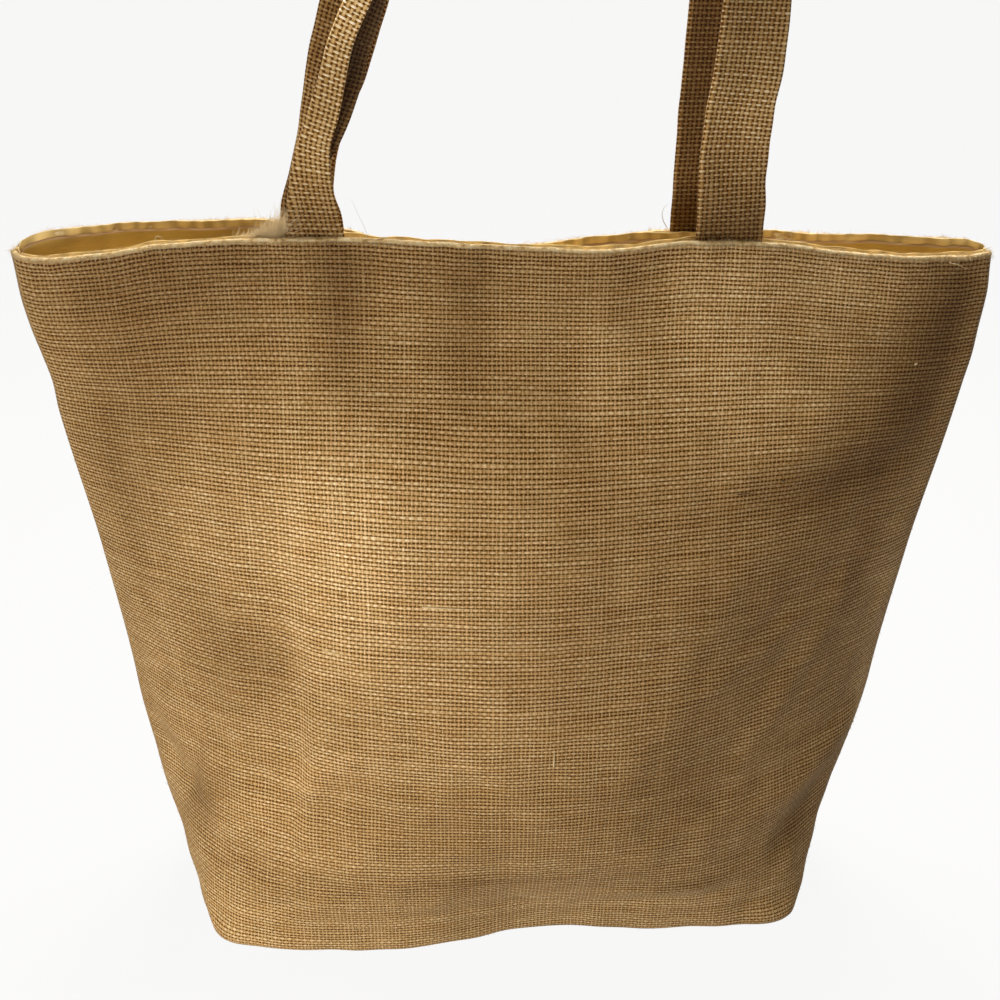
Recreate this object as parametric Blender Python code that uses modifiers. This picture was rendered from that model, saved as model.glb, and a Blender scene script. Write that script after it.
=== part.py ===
"""Lined burlap tote bag, standing open on its boxed base with both strap handles up.

Metres, +Z up, +X to the right and +Y to the back. The origin is the middle of the
base's underside. The body is one cloth: front panel, base and back panel, closed by a
seam up the middle of each side. Every level outline of it has the same girth, because
the cloth doesn't stretch: a rounded rectangle at the base, a lens at the rim.
"""

from collections import namedtuple

import bmesh
import bpy
import numpy as np

# ------------------------------------------------------------------ driving sizes
PANEL_WIDTH = 0.457          # one panel laid flat, side seam to side seam
RIM_HEIGHT = 0.370           # mean height of the rim above the base
BURLAP = 0.0015              # thickness of the jute cloth
LINING = 0.0010              # thickness of the cotton lining
LINING_INSET = 0.0038        # lining's outer face, inward from the burlap's outer face
LINING_DROP = 0.004          # lining's top edge below the rim
LINING_FLOOR = 0.0032        # underside of the lining's base
SEAM_HALF_GAP = 0.002        # room left beside the lining's side seams

# Where the lining gives way to a sewn-in strap end.
TAIL_ROOM = 0.0062           # how far
TAIL_REACH = 0.034           # half width of the place
TAIL_STEEP = 1.8             # the room is whole from 1 / this of the way in from its edge
TAIL_TOP = 0.060             # the place starts this far below the rim
TAIL_BAND = 0.025            # and is whole this much higher

STRAP_WIDTH = 0.031
STRAP_THICKNESS = 0.003
STRAP_INSET = 0.0041         # strap's middle, inward from the burlap's outer face
STRAP_TAIL = 0.026           # length of strap sewn in below the rim
STRAIGHTENS_FROM = 0.004     # height above the rim where a strap starts to leave its curve
STRAIGHTENS_IN = 0.070       # and the height over which it does
STRAP_RISE = 0.240           # height of the handles above the rim
STRAP_LEAN = 0.005           # how far each leans away from the other by then
TOP_START = 0.3              # share of a strap's length where its crossing of the top starts
TOP_LENGTH = 0.4             # and the share that the crossing takes
LEAST_ROLL = 2               # degrees, so that a flat strap is a very slight arc

COLUMNS = 32                 # cloth columns across one panel
OUTLINE_STEPS = 400          # points of the fine outline that the columns are read from
SEARCH_STEPS = 40            # halvings in the search for an outline's half width
RIM_SHAPE_START = 0.262      # above this height the outline turns into the rim's own
STRAP_COLUMNS = 4
STRAP_STATIONS = 42

# Bands of the cloth in which its folds fade out.
FOLDS_END = 0.330            # height where they start to fade below the rim
FOLDS_END_BAND = 0.040       # and the height over which they do
SEAM_BAND = 0.020            # beside a side seam
CORNER_BAND = 0.100          # beside a side seam, for the base edge's tucks
LEVEL_BAND = 0.030           # height below which they turn to moving the cloth level

# Level outlines of the bag, |x / half width|^end_power + |y / depth|^depth_power = 1.
Section = namedtuple("Section", "height depth end_power depth_power")
SECTIONS = (
    Section(0.000, 0.0745, 9.0, 8.0),
    Section(0.015, 0.0765, 5.7, 3.2),
    Section(0.060, 0.0865, 3.2, 1.30),
    Section(0.130, 0.0875, 2.0, 1.15),
    Section(0.210, 0.0760, 1.7, 1.20),
    Section(0.290, 0.0480, 1.6, 1.25),
    Section(0.345, 0.0250, 1.7, 1.50),
    Section(0.370, 0.0170, 2.0, 1.80),
)
BODY_LEVELS = (0.0, 0.004, 0.012, 0.026, 0.045, 0.066, 0.090, 0.115, 0.142, 0.170,
               0.200, 0.230, 0.260, 0.288, 0.312, 0.333, 0.352, 0.370)
LINING_LEVELS = (0.0, 0.006, 0.020, 0.045, 0.066, 0.090, 0.115, 0.142, 0.206, 0.288,
                 0.312, 0.333, 0.352, 0.366)

# The rim as it hangs. across: -1 at the left side seam to 1 at the right one.
RimPoint = namedtuple("RimPoint", "across depth height")
FRONT_RIM = (
    RimPoint(-1.00, 0.0000, 0.3665),
    RimPoint(-0.95, -0.0038, 0.3638),
    RimPoint(-0.82, -0.0064, 0.3662),
    RimPoint(-0.70, -0.0093, 0.3712),
    RimPoint(-0.50, -0.0124, 0.3746),
    RimPoint(-0.33, -0.0135, 0.3754),
    RimPoint(-0.10, -0.0140, 0.3732),
    RimPoint(0.17, -0.0140, 0.3708),
    RimPoint(0.38, -0.0133, 0.3747),
    RimPoint(0.52, -0.0121, 0.3738),
    RimPoint(0.68, -0.0098, 0.3694),
    RimPoint(0.86, -0.0060, 0.3665),
    RimPoint(1.00, 0.0000, 0.3690),
)
BACK_RIM = (
    RimPoint(-1.00, 0.0000, 0.3665),
    RimPoint(-0.93, 0.0085, 0.3735),
    RimPoint(-0.76, 0.0240, 0.3740),
    RimPoint(-0.53, 0.0340, 0.3740),
    RimPoint(-0.41, 0.0300, 0.3735),
    RimPoint(-0.34, 0.0215, 0.3725),
    RimPoint(-0.26, 0.0100, 0.3697),
    RimPoint(-0.14, 0.0035, 0.3682),
    RimPoint(0.02, 0.0020, 0.3695),
    RimPoint(0.18, 0.0080, 0.3720),
    RimPoint(0.34, 0.0230, 0.3722),
    RimPoint(0.50, 0.0230, 0.3720),
    RimPoint(0.72, 0.0140, 0.3720),
    RimPoint(0.93, 0.0076, 0.3720),
    RimPoint(1.00, 0.0000, 0.3690),
)

# Soft folds of the cloth, each a long mound or trough. across and height place its
# middle on the flat panel, turn leans it from upright towards the right in degrees, and
# a negative rise is a trough.
Fold = namedtuple("Fold", "across height length width turn rise")
FRONT_FOLDS = (
    Fold(-0.120, 0.165, 0.090, 0.016, 4, -0.0045),
    Fold(-0.068, 0.230, 0.100, 0.030, 8, 0.0030),
    Fold(0.110, 0.215, 0.120, 0.026, 32, 0.0035),
    Fold(0.190, 0.098, 0.040, 0.014, 65, 0.0045),
    Fold(0.185, 0.070, 0.032, 0.013, 70, -0.0040),
    Fold(-0.205, 0.090, 0.035, 0.014, -55, -0.0040),
)
BACK_FOLDS = (
    Fold(0.120, 0.170, 0.090, 0.018, -5, -0.0040),
    Fold(-0.100, 0.200, 0.110, 0.026, -28, 0.0030),
    Fold(0.080, 0.300, 0.060, 0.018, 8, -0.0025),
)

# Where the base edge is tucked in under a panel, or pushed out: the same rows, but these
# move the cloth level, straight to the front or the back.
FRONT_TUCKS = (
    Fold(0.070, 0.006, 0.120, 0.055, 90, -0.0085),
    Fold(0.020, 0.006, 0.055, 0.055, 90, -0.0070),
    Fold(0.145, 0.006, 0.050, 0.055, 90, -0.0065),
    Fold(-0.055, 0.008, 0.050, 0.040, 90, 0.0040),
)
BACK_TUCKS = (
    Fold(-0.060, 0.006, 0.060, 0.050, 90, -0.0080),
    Fold(0.110, 0.006, 0.050, 0.045, 90, 0.0030),
)

# A strap's middle line from its left foot over the top to its right foot. width is its
# share of the full breadth, turn is the quarter turn towards lying level across the top,
# and roll is how far its two edges curl together, both in degrees.
StrapRow = namedtuple("StrapRow", "across height width turn roll")
FRONT_STRAP = (
    StrapRow(-0.0885, 0.378, 1.00, 0, 0),
    StrapRow(-0.0880, 0.400, 1.00, 0, 90),
    StrapRow(-0.0770, 0.436, 1.00, 8, 190),
    StrapRow(-0.0630, 0.472, 1.00, 20, 210),
    StrapRow(-0.0460, 0.515, 1.00, 50, 150),
    StrapRow(-0.0260, 0.560, 1.00, 80, 60),
    StrapRow(0.0030, 0.597, 1.00, 90, 10),
    StrapRow(0.0400, 0.610, 1.00, 90, 0),
    StrapRow(0.0760, 0.595, 1.00, 90, 5),
    StrapRow(0.0970, 0.555, 1.00, 70, 20),
    StrapRow(0.1000, 0.515, 1.00, 35, 25),
    StrapRow(0.0990, 0.472, 0.98, 12, 25),
    StrapRow(0.0975, 0.425, 0.96, 5, 20),
    StrapRow(0.0990, 0.378, 1.00, 0, 0),
)
BACK_STRAP = (
    StrapRow(-0.0895, 0.378, 1.00, 0, 0),
    StrapRow(-0.0820, 0.420, 1.00, 6, 20),
    StrapRow(-0.0700, 0.471, 1.00, 16, 25),
    StrapRow(-0.0520, 0.520, 1.00, 45, 20),
    StrapRow(-0.0310, 0.565, 1.00, 78, 10),
    StrapRow(-0.0020, 0.600, 1.00, 90, 5),
    StrapRow(0.0350, 0.612, 1.00, 90, 0),
    StrapRow(0.0700, 0.597, 1.00, 90, 5),
    StrapRow(0.0900, 0.557, 1.00, 70, 15),
    StrapRow(0.0930, 0.515, 1.00, 35, 20),
    StrapRow(0.0920, 0.472, 1.00, 12, 20),
    StrapRow(0.0915, 0.425, 1.00, 5, 15),
    StrapRow(0.0920, 0.378, 1.00, 0, 0),
)

# Principled colours: red, green, blue, then roughness.
JUTE = (0.33, 0.20, 0.085, 0.9)
JUTE_STRAP = (0.31, 0.185, 0.08, 0.9)
GOLDEN_COTTON = (0.50, 0.29, 0.06, 0.8)


# ------------------------------------------------------------------ reading tables
def column(table, name):
    """One named column of a table, as an array."""
    return np.array([getattr(row, name) for row in table], dtype=float)


def smooth_read(knots, values, where):
    """A cubic through (knots, values) that never overshoots a row, read at `where`."""
    steps = np.diff(knots)
    rises = np.diff(values) / steps
    slopes = np.concatenate([rises[:1], np.zeros(len(knots) - 2), rises[-1:]])
    before, after = rises[:-1], rises[1:]
    rolling = before * after > 0
    slopes[1:-1][rolling] = (2 * before * after)[rolling] / (before + after)[rolling]
    cell = np.clip(np.searchsorted(knots, where) - 1, 0, len(steps) - 1)
    t = np.clip((where - knots[cell]) / steps[cell], 0, 1)
    bend_in = slopes[cell] * steps[cell]
    bend_out = slopes[cell + 1] * steps[cell]
    return (values[cell] * (1 + 2 * t) * (1 - t) ** 2 + bend_in * t * (1 - t) ** 2
            + values[cell + 1] * t * t * (3 - 2 * t) - bend_out * t * t * (1 - t))


def read_row(table, key, name, where):
    """Column `name` of a table whose rows lie along column `key`, read at `where`."""
    return smooth_read(column(table, key), column(table, name), np.asarray(where, dtype=float))


def ease(t):
    """0 to 1 with level ends."""
    t = np.clip(t, 0, 1)
    return t * t * (3 - 2 * t)


# ------------------------------------------------------------------ the bag's outlines
def quarter_outline(half_width, depth, end_power, depth_power):
    """A quarter of a level outline, from its middle (0, depth) to its end (half_width, 0)."""
    angle = np.linspace(0, np.pi / 2, OUTLINE_STEPS)
    return (half_width * np.sin(angle) ** (2 / end_power),
            depth * np.cos(angle) ** (2 / depth_power))


def half_width_for(girth, depth, end_power, depth_power):
    """The half width that gives the outline this half girth, found by halving."""
    low, high = girth / 4, girth / 2
    for _ in range(SEARCH_STEPS):
        middle = (low + high) / 2
        x, y = quarter_outline(middle, depth, end_power, depth_power)
        if 2 * np.hypot(np.diff(x), np.diff(y)).sum() > girth:
            high = middle
        else:
            low = middle
    return low


def panel_row(height, inset):
    """x, depth and the full half width of one panel at a height, left seam to right.

    An inset row is the lining's: it lies that much further in, and stops short of the
    side seam where the two panels of burlap close up.
    """
    depth, end_power, depth_power = (
        float(read_row(SECTIONS, "height", name, height))
        for name in ("depth", "end_power", "depth_power"))
    full = half_width_for(PANEL_WIDTH, depth, end_power, depth_power)
    half_width = full
    if inset:
        closing = ((inset + SEAM_HALF_GAP) / depth) ** depth_power
        half_width = min(full - inset, full * (1 - closing) ** (1 / end_power))
    x, y = quarter_outline(half_width, depth - inset, end_power, depth_power)
    x = np.concatenate([-x[::-1], x[1:]])
    y = np.concatenate([y[::-1], y[1:]])
    run = np.concatenate([[0], np.cumsum(np.hypot(np.diff(x), np.diff(y)))])
    stops = np.linspace(0, run[-1], COLUMNS + 1)
    return np.interp(stops, run, x), np.interp(stops, run, y), full


def rim_share(height):
    """How much of the rim's own shape a level has: 0 low on the bag, 1 at the rim."""
    return ease((height - RIM_SHAPE_START) / (RIM_HEIGHT - RIM_SHAPE_START))


def burlap_face(x, z, rim, side):
    """y of a panel's outer face at places across the bag, at one height of the real cloth."""
    rough = panel_row(z, 0)[2]
    lift = read_row(rim, "across", "height", np.mean(x) / rough) - RIM_HEIGHT
    level = z - rim_share(z) * lift
    row_x, depth, full = panel_row(level, 0)
    share = rim_share(level)
    return ((1 - share) * side * np.interp(x, row_x, depth)
            + share * read_row(rim, "across", "depth", x / full))


def panel_grid(levels, inset, rim, side):
    """Points of one panel, rows going up and columns left to right. side is -1 in front."""
    rows = []
    for height in levels:
        x, depth, full = panel_row(height, inset)
        share = rim_share(height)
        across = x / full
        rim_y = read_row(rim, "across", "depth", across) - side * inset
        rim_lift = read_row(rim, "across", "height", across) - RIM_HEIGHT
        y = (1 - share) * side * depth + share * rim_y
        rows.append(np.stack([x, y, height + share * rim_lift], axis=-1))
    return np.array(rows)


def outward(grid, side):
    """Unit normals of a panel's grid that point out of the bag."""
    along = np.gradient(grid, axis=1)
    up = np.gradient(grid, axis=0)
    normal = -side * np.cross(along, up)
    return normal / np.linalg.norm(normal, axis=2, keepdims=True)


def fold_rise(folds, across, height):
    """Sum of the soft folds at flat places of the panel."""
    total = np.zeros(np.broadcast(across, height).shape)
    for fold in folds:
        lean = np.radians(fold.turn)
        right, up = across - fold.across, height - fold.height
        lengthwise = right * np.sin(lean) + up * np.cos(lean)
        sideways = right * np.cos(lean) - up * np.sin(lean)
        total += fold.rise * np.exp(-(lengthwise / fold.length) ** 2 - (sideways / fold.width) ** 2)
    return total


def strap_feet(strap):
    """Left and right foot of a strap, as distances across the bag."""
    return strap[0].across, strap[-1].across


def folded_panel(levels, inset, rim, folds, tucks, strap, side):
    """One panel with its folds, and in the lining with room for the sewn-in strap ends."""
    grid = panel_grid(levels, inset, rim, side)
    flat_across = np.linspace(-PANEL_WIDTH / 2, PANEL_WIDTH / 2, COLUMNS + 1)[None, :]
    from_seam = PANEL_WIDTH / 2 - np.abs(flat_across)
    height = np.array(levels)[:, None]
    rise = fold_rise(folds, flat_across, height)
    rise = rise * (1 - ease((height - FOLDS_END) / FOLDS_END_BAND))
    if inset:
        for foot in strap_feet(strap):
            near = np.clip(1 - np.abs(grid[..., 0] - foot) / TAIL_REACH, 0, 1)
            above = ease((height - RIM_HEIGHT + TAIL_TOP) / TAIL_BAND)
            rise = rise - TAIL_ROOM * ease(TAIL_STEEP * near) * above
    # The folds fade out at the side seams, which both panels share.
    rise = rise * ease(from_seam / SEAM_BAND)
    # Along the base they move the cloth level, so that the bottom stays flat.
    push = outward(grid, side)
    push[..., 2] *= 1 - ease((LEVEL_BAND - height) / LEVEL_BAND)
    grid = grid + rise[..., None] * push
    grid[..., 1] += side * fold_rise(tucks, flat_across, height) * ease(from_seam / CORNER_BAND)
    return grid


# ------------------------------------------------------------------ meshes and objects
def new_object(name, vertices, faces, collection, material):
    """A named mesh object with its faces turned outwards."""
    mesh = bpy.data.meshes.new(name)
    mesh.from_pydata([tuple(v) for v in vertices], [], faces)
    shape = bmesh.new()
    shape.from_mesh(mesh)
    bmesh.ops.recalc_face_normals(shape, faces=shape.faces)
    shape.to_mesh(mesh)
    shape.free()
    mesh.materials.append(material)
    mesh.shade_smooth()
    thing = bpy.data.objects.new(name, mesh)
    collection.objects.link(thing)
    return thing


def thicken(thing, thickness, offset):
    """Give an open sheet its thickness: offset -1 is inwards, 0 is to both sides."""
    wall = thing.modifiers.new("Thickness", "SOLIDIFY")
    wall.thickness = thickness
    wall.offset = offset
    wall.use_even_offset = False
    wall.use_quality_normals = True


def cloth_bag(name, front, back, collection, material):
    """Sew two panels into a bag: a loft round both, and a base bridged front to back."""
    rings = np.concatenate([front, back[:, -2:0:-1]], axis=1)
    levels, around = rings.shape[:2]
    faces = []
    for level in range(levels - 1):
        low, high = level * around, (level + 1) * around
        for place in range(around):
            beside = (place + 1) % around
            faces.append((low + place, low + beside, high + beside, high + place))
    for place in range(COLUMNS):
        back_here = (around - place) % around
        back_next = around - place - 1
        corners = (place, place + 1, back_next, back_here)
        faces.append(tuple(dict.fromkeys(corners)))
    return new_object(name, rings.reshape(-1, 3), faces, collection, material)


def strap_points(strap, rim, side):
    """Grid of points of a strap: stations along it, columns across it.

    Each station is an arc of the strap's width. roll is the arc's angle, and turn
    swings it about the strap's own line, from facing the front to lying level. A foot
    lies along the inside of the burlap, and the strap straightens above the rim.
    """
    tails = [end._replace(height=end.height - STRAP_TAIL) for end in (strap[0], strap[-1])]
    rows = (tails[0], *strap, tails[1])
    x, z = column(rows, "across"), column(rows, "height")
    run = np.concatenate([[0], np.cumsum(np.hypot(np.diff(x), np.diff(z)))])
    stops = np.linspace(0, run[-1], STRAP_STATIONS)
    middle_x, middle_z, width, turn, roll = (
        smooth_read(run, column(rows, name), stops)[:, None]
        for name in ("across", "height", "width", "turn", "roll"))
    along_x, along_z = np.gradient(middle_x[:, 0]), np.gradient(middle_z[:, 0])
    slant = np.arctan2(along_x, along_z)[:, None]
    turn, roll = np.radians(turn), np.radians(np.maximum(roll, LEAST_ROLL))
    place = np.linspace(-0.5, 0.5, STRAP_COLUMNS + 1)[None, :]
    radius = STRAP_WIDTH * width / roll
    sideways = radius * np.sin(place * roll)
    dished = radius * (np.cos(place * roll) - np.cos(roll / 4))
    level_out = sideways * np.cos(turn) + dished * np.sin(turn)
    points = np.stack([middle_x + level_out * np.cos(slant),
                       -sideways * np.sin(turn) + dished * np.cos(turn),
                       middle_z - level_out * np.sin(slant)], axis=-1)
    # Where the burlap's face lies beside each point, up to the rim; the right foot's
    # takes over from the left foot's across the top. The columns run to the right on the
    # left leg, which the line climbs, and to the left on the right one.
    across = STRAP_WIDTH * place[0]
    across_top = ease((stops / run[-1] - TOP_START) / TOP_LENGTH)
    for station in range(STRAP_STATIONS):
        level = min(middle_z[station, 0], RIM_HEIGHT)
        left = burlap_face(x[0] + across, level, rim, side)
        right = burlap_face(x[-1] - across, level, rim, side)
        face = left + (right - left) * across_top[station]
        straight = ease((middle_z[station, 0] - RIM_HEIGHT - STRAIGHTENS_FROM) / STRAIGHTENS_IN)
        face = face + (face.mean() - face) * straight
        steep = np.hypot(1, np.gradient(face, across))
        points[station, :, 1] += face - side * STRAP_INSET * steep
    # The two handles stand a little apart at the top.
    points[..., 1] += side * STRAP_LEAN * ease((middle_z - RIM_HEIGHT) / STRAP_RISE)
    return points


def make_strap(name, strap, rim, side, collection, material):
    """One strap handle: a ribbon swept along its line, then thickened to both sides."""
    points = strap_points(strap, rim, side)
    stations, wide = points.shape[:2]
    faces = []
    for station in range(stations - 1):
        low, high = station * wide, (station + 1) * wide
        for place in range(wide - 1):
            faces.append((low + place, low + place + 1, high + place + 1, high + place))
    handle = new_object(name, points.reshape(-1, 3), faces, collection, material)
    thicken(handle, STRAP_THICKNESS, 0)


def make_body(collection, material):
    """The burlap: front panel, base and back panel in one cloth."""
    front = folded_panel(BODY_LEVELS, 0, FRONT_RIM, FRONT_FOLDS, FRONT_TUCKS, FRONT_STRAP, -1)
    back = folded_panel(BODY_LEVELS, 0, BACK_RIM, BACK_FOLDS, BACK_TUCKS, BACK_STRAP, 1)
    body = cloth_bag("burlap_body", front, back, collection, material)
    thicken(body, BURLAP, -1)


def make_lining(collection, material):
    """The cotton lining: the same bag a little smaller, its top edge below the rim."""
    panels = []
    for rim, folds, tucks, strap, side in (
            (FRONT_RIM, FRONT_FOLDS, FRONT_TUCKS, FRONT_STRAP, -1),
            (BACK_RIM, BACK_FOLDS, BACK_TUCKS, BACK_STRAP, 1)):
        panel = folded_panel(LINING_LEVELS, LINING_INSET, rim, folds, tucks, strap, side)
        sink = (LINING_DROP - (RIM_HEIGHT - LINING_LEVELS[-1])) * ease(panel[..., 2] / RIM_HEIGHT)
        lift = LINING_FLOOR * (1 - panel[..., 2] / RIM_HEIGHT)
        panel[..., 2] += lift - sink
        panels.append(panel)
    front, back = panels
    # Both panels meet in one line at each side seam.
    for seam in (0, -1):
        front[:, seam] = back[:, seam] = (front[:, seam] + back[:, seam]) / 2
    lining = cloth_bag("lining", front, back, collection, material)
    thicken(lining, LINING, -1)


def principled(name, colour):
    """A plain Principled material: colour and roughness, not metallic."""
    material = bpy.data.materials.new(name)
    material.use_nodes = True
    shader = material.node_tree.nodes["Principled BSDF"]
    shader.inputs["Base Color"].default_value = (*colour[:3], 1)
    shader.inputs["Roughness"].default_value = colour[3]
    shader.inputs["Metallic"].default_value = 0
    return material


def main():
    """Clear the scene and build the bag's four pieces."""
    for old in list(bpy.data.objects):
        bpy.data.objects.remove(old, do_unlink=True)
    bag = bpy.data.collections.new("burlap_tote")
    bpy.context.scene.collection.children.link(bag)
    strap_cloth = principled("Jute strap", JUTE_STRAP)
    make_body(bag, principled("Jute body", JUTE))
    make_lining(bag, principled("Golden cotton", GOLDEN_COTTON))
    make_strap("front_handle", FRONT_STRAP, FRONT_RIM, -1, bag, strap_cloth)
    make_strap("back_handle", BACK_STRAP, BACK_RIM, 1, bag, strap_cloth)


main()
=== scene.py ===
# %% [markdown]
# # A lined burlap tote bag
#
# The real bag is sewn from coarse jute cloth and stands open on a boxed base. A thin
# golden cotton bag hangs inside it, and two straps of folded jute rise from the rim.
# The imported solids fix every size. This lesson gives them their looks: draped cloth of
# true thickness, an open weave that follows the thread, and the fuzz that jute sheds.

# %% Load the frame
from collections import namedtuple

import bmesh
import bpy
import numpy as np
from mathutils import Matrix, Vector


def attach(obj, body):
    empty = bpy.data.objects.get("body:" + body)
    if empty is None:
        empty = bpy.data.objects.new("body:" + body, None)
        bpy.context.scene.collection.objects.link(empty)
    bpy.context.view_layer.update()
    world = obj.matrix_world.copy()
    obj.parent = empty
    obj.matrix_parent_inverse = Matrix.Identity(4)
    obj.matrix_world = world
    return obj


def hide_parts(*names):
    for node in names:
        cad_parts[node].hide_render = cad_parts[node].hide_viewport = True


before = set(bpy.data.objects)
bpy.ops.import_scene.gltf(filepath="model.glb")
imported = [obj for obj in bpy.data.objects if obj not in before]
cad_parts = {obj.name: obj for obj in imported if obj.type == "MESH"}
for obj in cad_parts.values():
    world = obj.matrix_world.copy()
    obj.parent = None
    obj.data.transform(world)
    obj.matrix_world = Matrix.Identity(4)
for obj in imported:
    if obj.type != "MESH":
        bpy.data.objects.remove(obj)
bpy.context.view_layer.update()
print("solids to dress:", sorted(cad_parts))

# %% [markdown]
# ## Camera
#
# The bag is seen from in front and a little above, from close by, so its rim looks
# wider than its base. A camera could be aimed with a constraint, but a fixed turn built
# from three angles is exact and stays put.

# %% Camera
SENSOR = 36.0
LENS = 39.6
CAMERA_PLACE = (-0.0218, -0.5082, 0.4905)
PITCH_DOWN, YAW_RIGHT, ROLL = np.radians((26.44, 2.02, -0.72))


def add(thing):
    """Put an object into the scene and give it back."""
    bpy.context.scene.collection.objects.link(thing)
    return thing


ahead = np.array((np.sin(YAW_RIGHT) * np.cos(PITCH_DOWN),
                  np.cos(YAW_RIGHT) * np.cos(PITCH_DOWN), -np.sin(PITCH_DOWN)))
level_right = np.array((np.cos(YAW_RIGHT), -np.sin(YAW_RIGHT), 0))
level_down = np.cross(ahead, level_right)
picture_right = level_right * np.cos(ROLL) + level_down * np.sin(ROLL)
picture_down = level_down * np.cos(ROLL) - level_right * np.sin(ROLL)
camera = add(bpy.data.objects.new("Camera", bpy.data.cameras.new("Camera")))
camera.data.sensor_width = SENSOR
camera.data.lens = LENS
turn = Matrix(np.column_stack((picture_right, -picture_down, -ahead)).tolist())
camera.matrix_world = Matrix.Translation(CAMERA_PLACE) @ turn.to_4x4()
bpy.context.scene.camera = camera
print("camera height:", CAMERA_PLACE[2])

# %% [markdown]
# ## Light and floor
#
# One soft lamp stands low and close at the left, so the left of the bag is bright and
# warm and the right falls away. A broad one above and behind lights the top of the rim
# and keeps the back from going black. Two thin faint strips of light just behind the
# front rim help the light that the golden cloth throws about inside the mouth. The floor
# is a pale sheet that glows a little, as a lit studio sweep does. It doesn't throw light
# back up on the cloth.

# %% Light and floor
KEY_PLACE = (-0.330, -0.480, 0.100)
KEY_AIM = (-0.030, -0.080, 0.180)
KEY_SIZE = 0.20
KEY_POWER = 2.15
KEY_COLOUR = (1.0, 0.95, 0.87)
FILL_PLACE = (0.05, 0.42, 1.10)
FILL_AIM = (0.0, 0.08, 0.22)
FILL_SIZE = 0.70
FILL_POWER = 17.0
MOUTH_LIGHTS = (((-0.150, -0.0020, 0.3765), 0.095), ((0.135, -0.0010, 0.3755), 0.070))
MOUTH_TALL = 0.003
MOUTH_WATTS_A_METRE = 0.00625
MOUTH_DROP, MOUTH_AIM_BACK = 0.008, 0.03
AMBIENT = 0.24
AMBIENT_LOW, AMBIENT_HIGH = -0.2, 1.0
AMBIENT_FROM_BELOW, AMBIENT_FROM_ABOVE = 0.55, 1.75
AMBIENT_COLOUR = (1.0, 0.86, 0.64)
PALE = (0.945, 0.945, 0.945)
FLOOR_HALF = 30.0
FLOOR_BELOW = 0.0003
FLOOR_GLOW = 0.915
FLOOR_PAINT = 0.045


def soft_lamp(name, place, aim, size, power, colour, tall=None):
    """A lamp at `place` that faces `aim`, both points in metres. It is square, or `tall`."""
    lamp = add(bpy.data.objects.new(name, bpy.data.lights.new(name, "AREA")))
    lamp.data.shape = "RECTANGLE"
    lamp.data.size, lamp.data.size_y = size, tall or size
    lamp.data.energy = power
    lamp.data.color = colour
    lamp.visible_camera = False
    turned = (Vector(place) - Vector(aim)).to_track_quat("Z", "Y")
    lamp.matrix_world = Matrix.Translation(place) @ turned.to_matrix().to_4x4()


soft_lamp("Key", KEY_PLACE, KEY_AIM, KEY_SIZE, KEY_POWER, KEY_COLOUR)
soft_lamp("Fill", FILL_PLACE, FILL_AIM, FILL_SIZE, FILL_POWER, KEY_COLOUR)
for (x, y, z), length in MOUTH_LIGHTS:
    soft_lamp("Mouth", (x, y, z), (x, y + MOUTH_AIM_BACK, z - MOUTH_DROP), length,
              MOUTH_WATTS_A_METRE * length, KEY_COLOUR, MOUTH_TALL)

world = bpy.data.worlds.new("Studio")
bpy.context.scene.world = world
world.use_nodes = True
sky = world.node_tree
sky.nodes["Background"].inputs["Color"].default_value = (*AMBIENT_COLOUR, 1)
way = sky.nodes.new("ShaderNodeSeparateXYZ")
sky.links.new(sky.nodes.new("ShaderNodeTexCoord").outputs["Generated"], way.inputs[0])
higher = sky.nodes.new("ShaderNodeMapRange")
for name, value in (("From Min", AMBIENT_LOW), ("From Max", AMBIENT_HIGH),
                    ("To Min", AMBIENT * AMBIENT_FROM_BELOW), ("To Max", AMBIENT * AMBIENT_FROM_ABOVE)):
    higher.inputs[name].default_value = value
sky.links.new(way.outputs["Z"], higher.inputs["Value"])
sky.links.new(higher.outputs[0], sky.nodes["Background"].inputs["Strength"])
backdrop = sky.nodes.new("ShaderNodeBackground")
backdrop.inputs["Color"].default_value = (*PALE, 1)
seen = sky.nodes.new("ShaderNodeLightPath")
either = sky.nodes.new("ShaderNodeMixShader")
sky.links.new(seen.outputs["Is Camera Ray"], either.inputs[0])
sky.links.new(sky.nodes["Background"].outputs[0], either.inputs[1])
sky.links.new(backdrop.outputs[0], either.inputs[2])
sky.links.new(either.outputs[0], sky.nodes["World Output"].inputs["Surface"])
bpy.context.scene.view_settings.view_transform = "Standard"

floor_mesh = bpy.data.meshes.new("Floor")
floor_corners = [(-FLOOR_HALF, -FLOOR_HALF, -FLOOR_BELOW), (FLOOR_HALF, -FLOOR_HALF, -FLOOR_BELOW),
                 (FLOOR_HALF, FLOOR_HALF, -FLOOR_BELOW), (-FLOOR_HALF, FLOOR_HALF, -FLOOR_BELOW)]
floor_mesh.from_pydata(floor_corners, [], [(0, 1, 2, 3)])
floor = add(bpy.data.objects.new("Floor", floor_mesh))
floor.visible_diffuse = False
sweep = bpy.data.materials.new("Studio sweep")
sweep.use_nodes = True
paint = sweep.node_tree.nodes["Principled BSDF"]
paint.inputs["Base Color"].default_value = (FLOOR_PAINT,) * 3 + (1,)
paint.inputs["Roughness"].default_value = 1.0
paint.inputs["Specular IOR Level"].default_value = 0.0
paint.inputs["Emission Color"].default_value = (1, 1, 1, 1)
paint.inputs["Emission Strength"].default_value = FLOOR_GLOW
floor_mesh.materials.append(sweep)
print("lamps at", KEY_PLACE, FILL_PLACE)

# %% [markdown]
# ## Reading a short table
#
# The bag's shape is kept in short tables: an outline at eight heights, the line of each
# rim, and the path of each strap. A straight reading between rows would leave kinks. A
# cubic whose slopes never overshoot gives one smooth line through the same rows.

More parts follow.
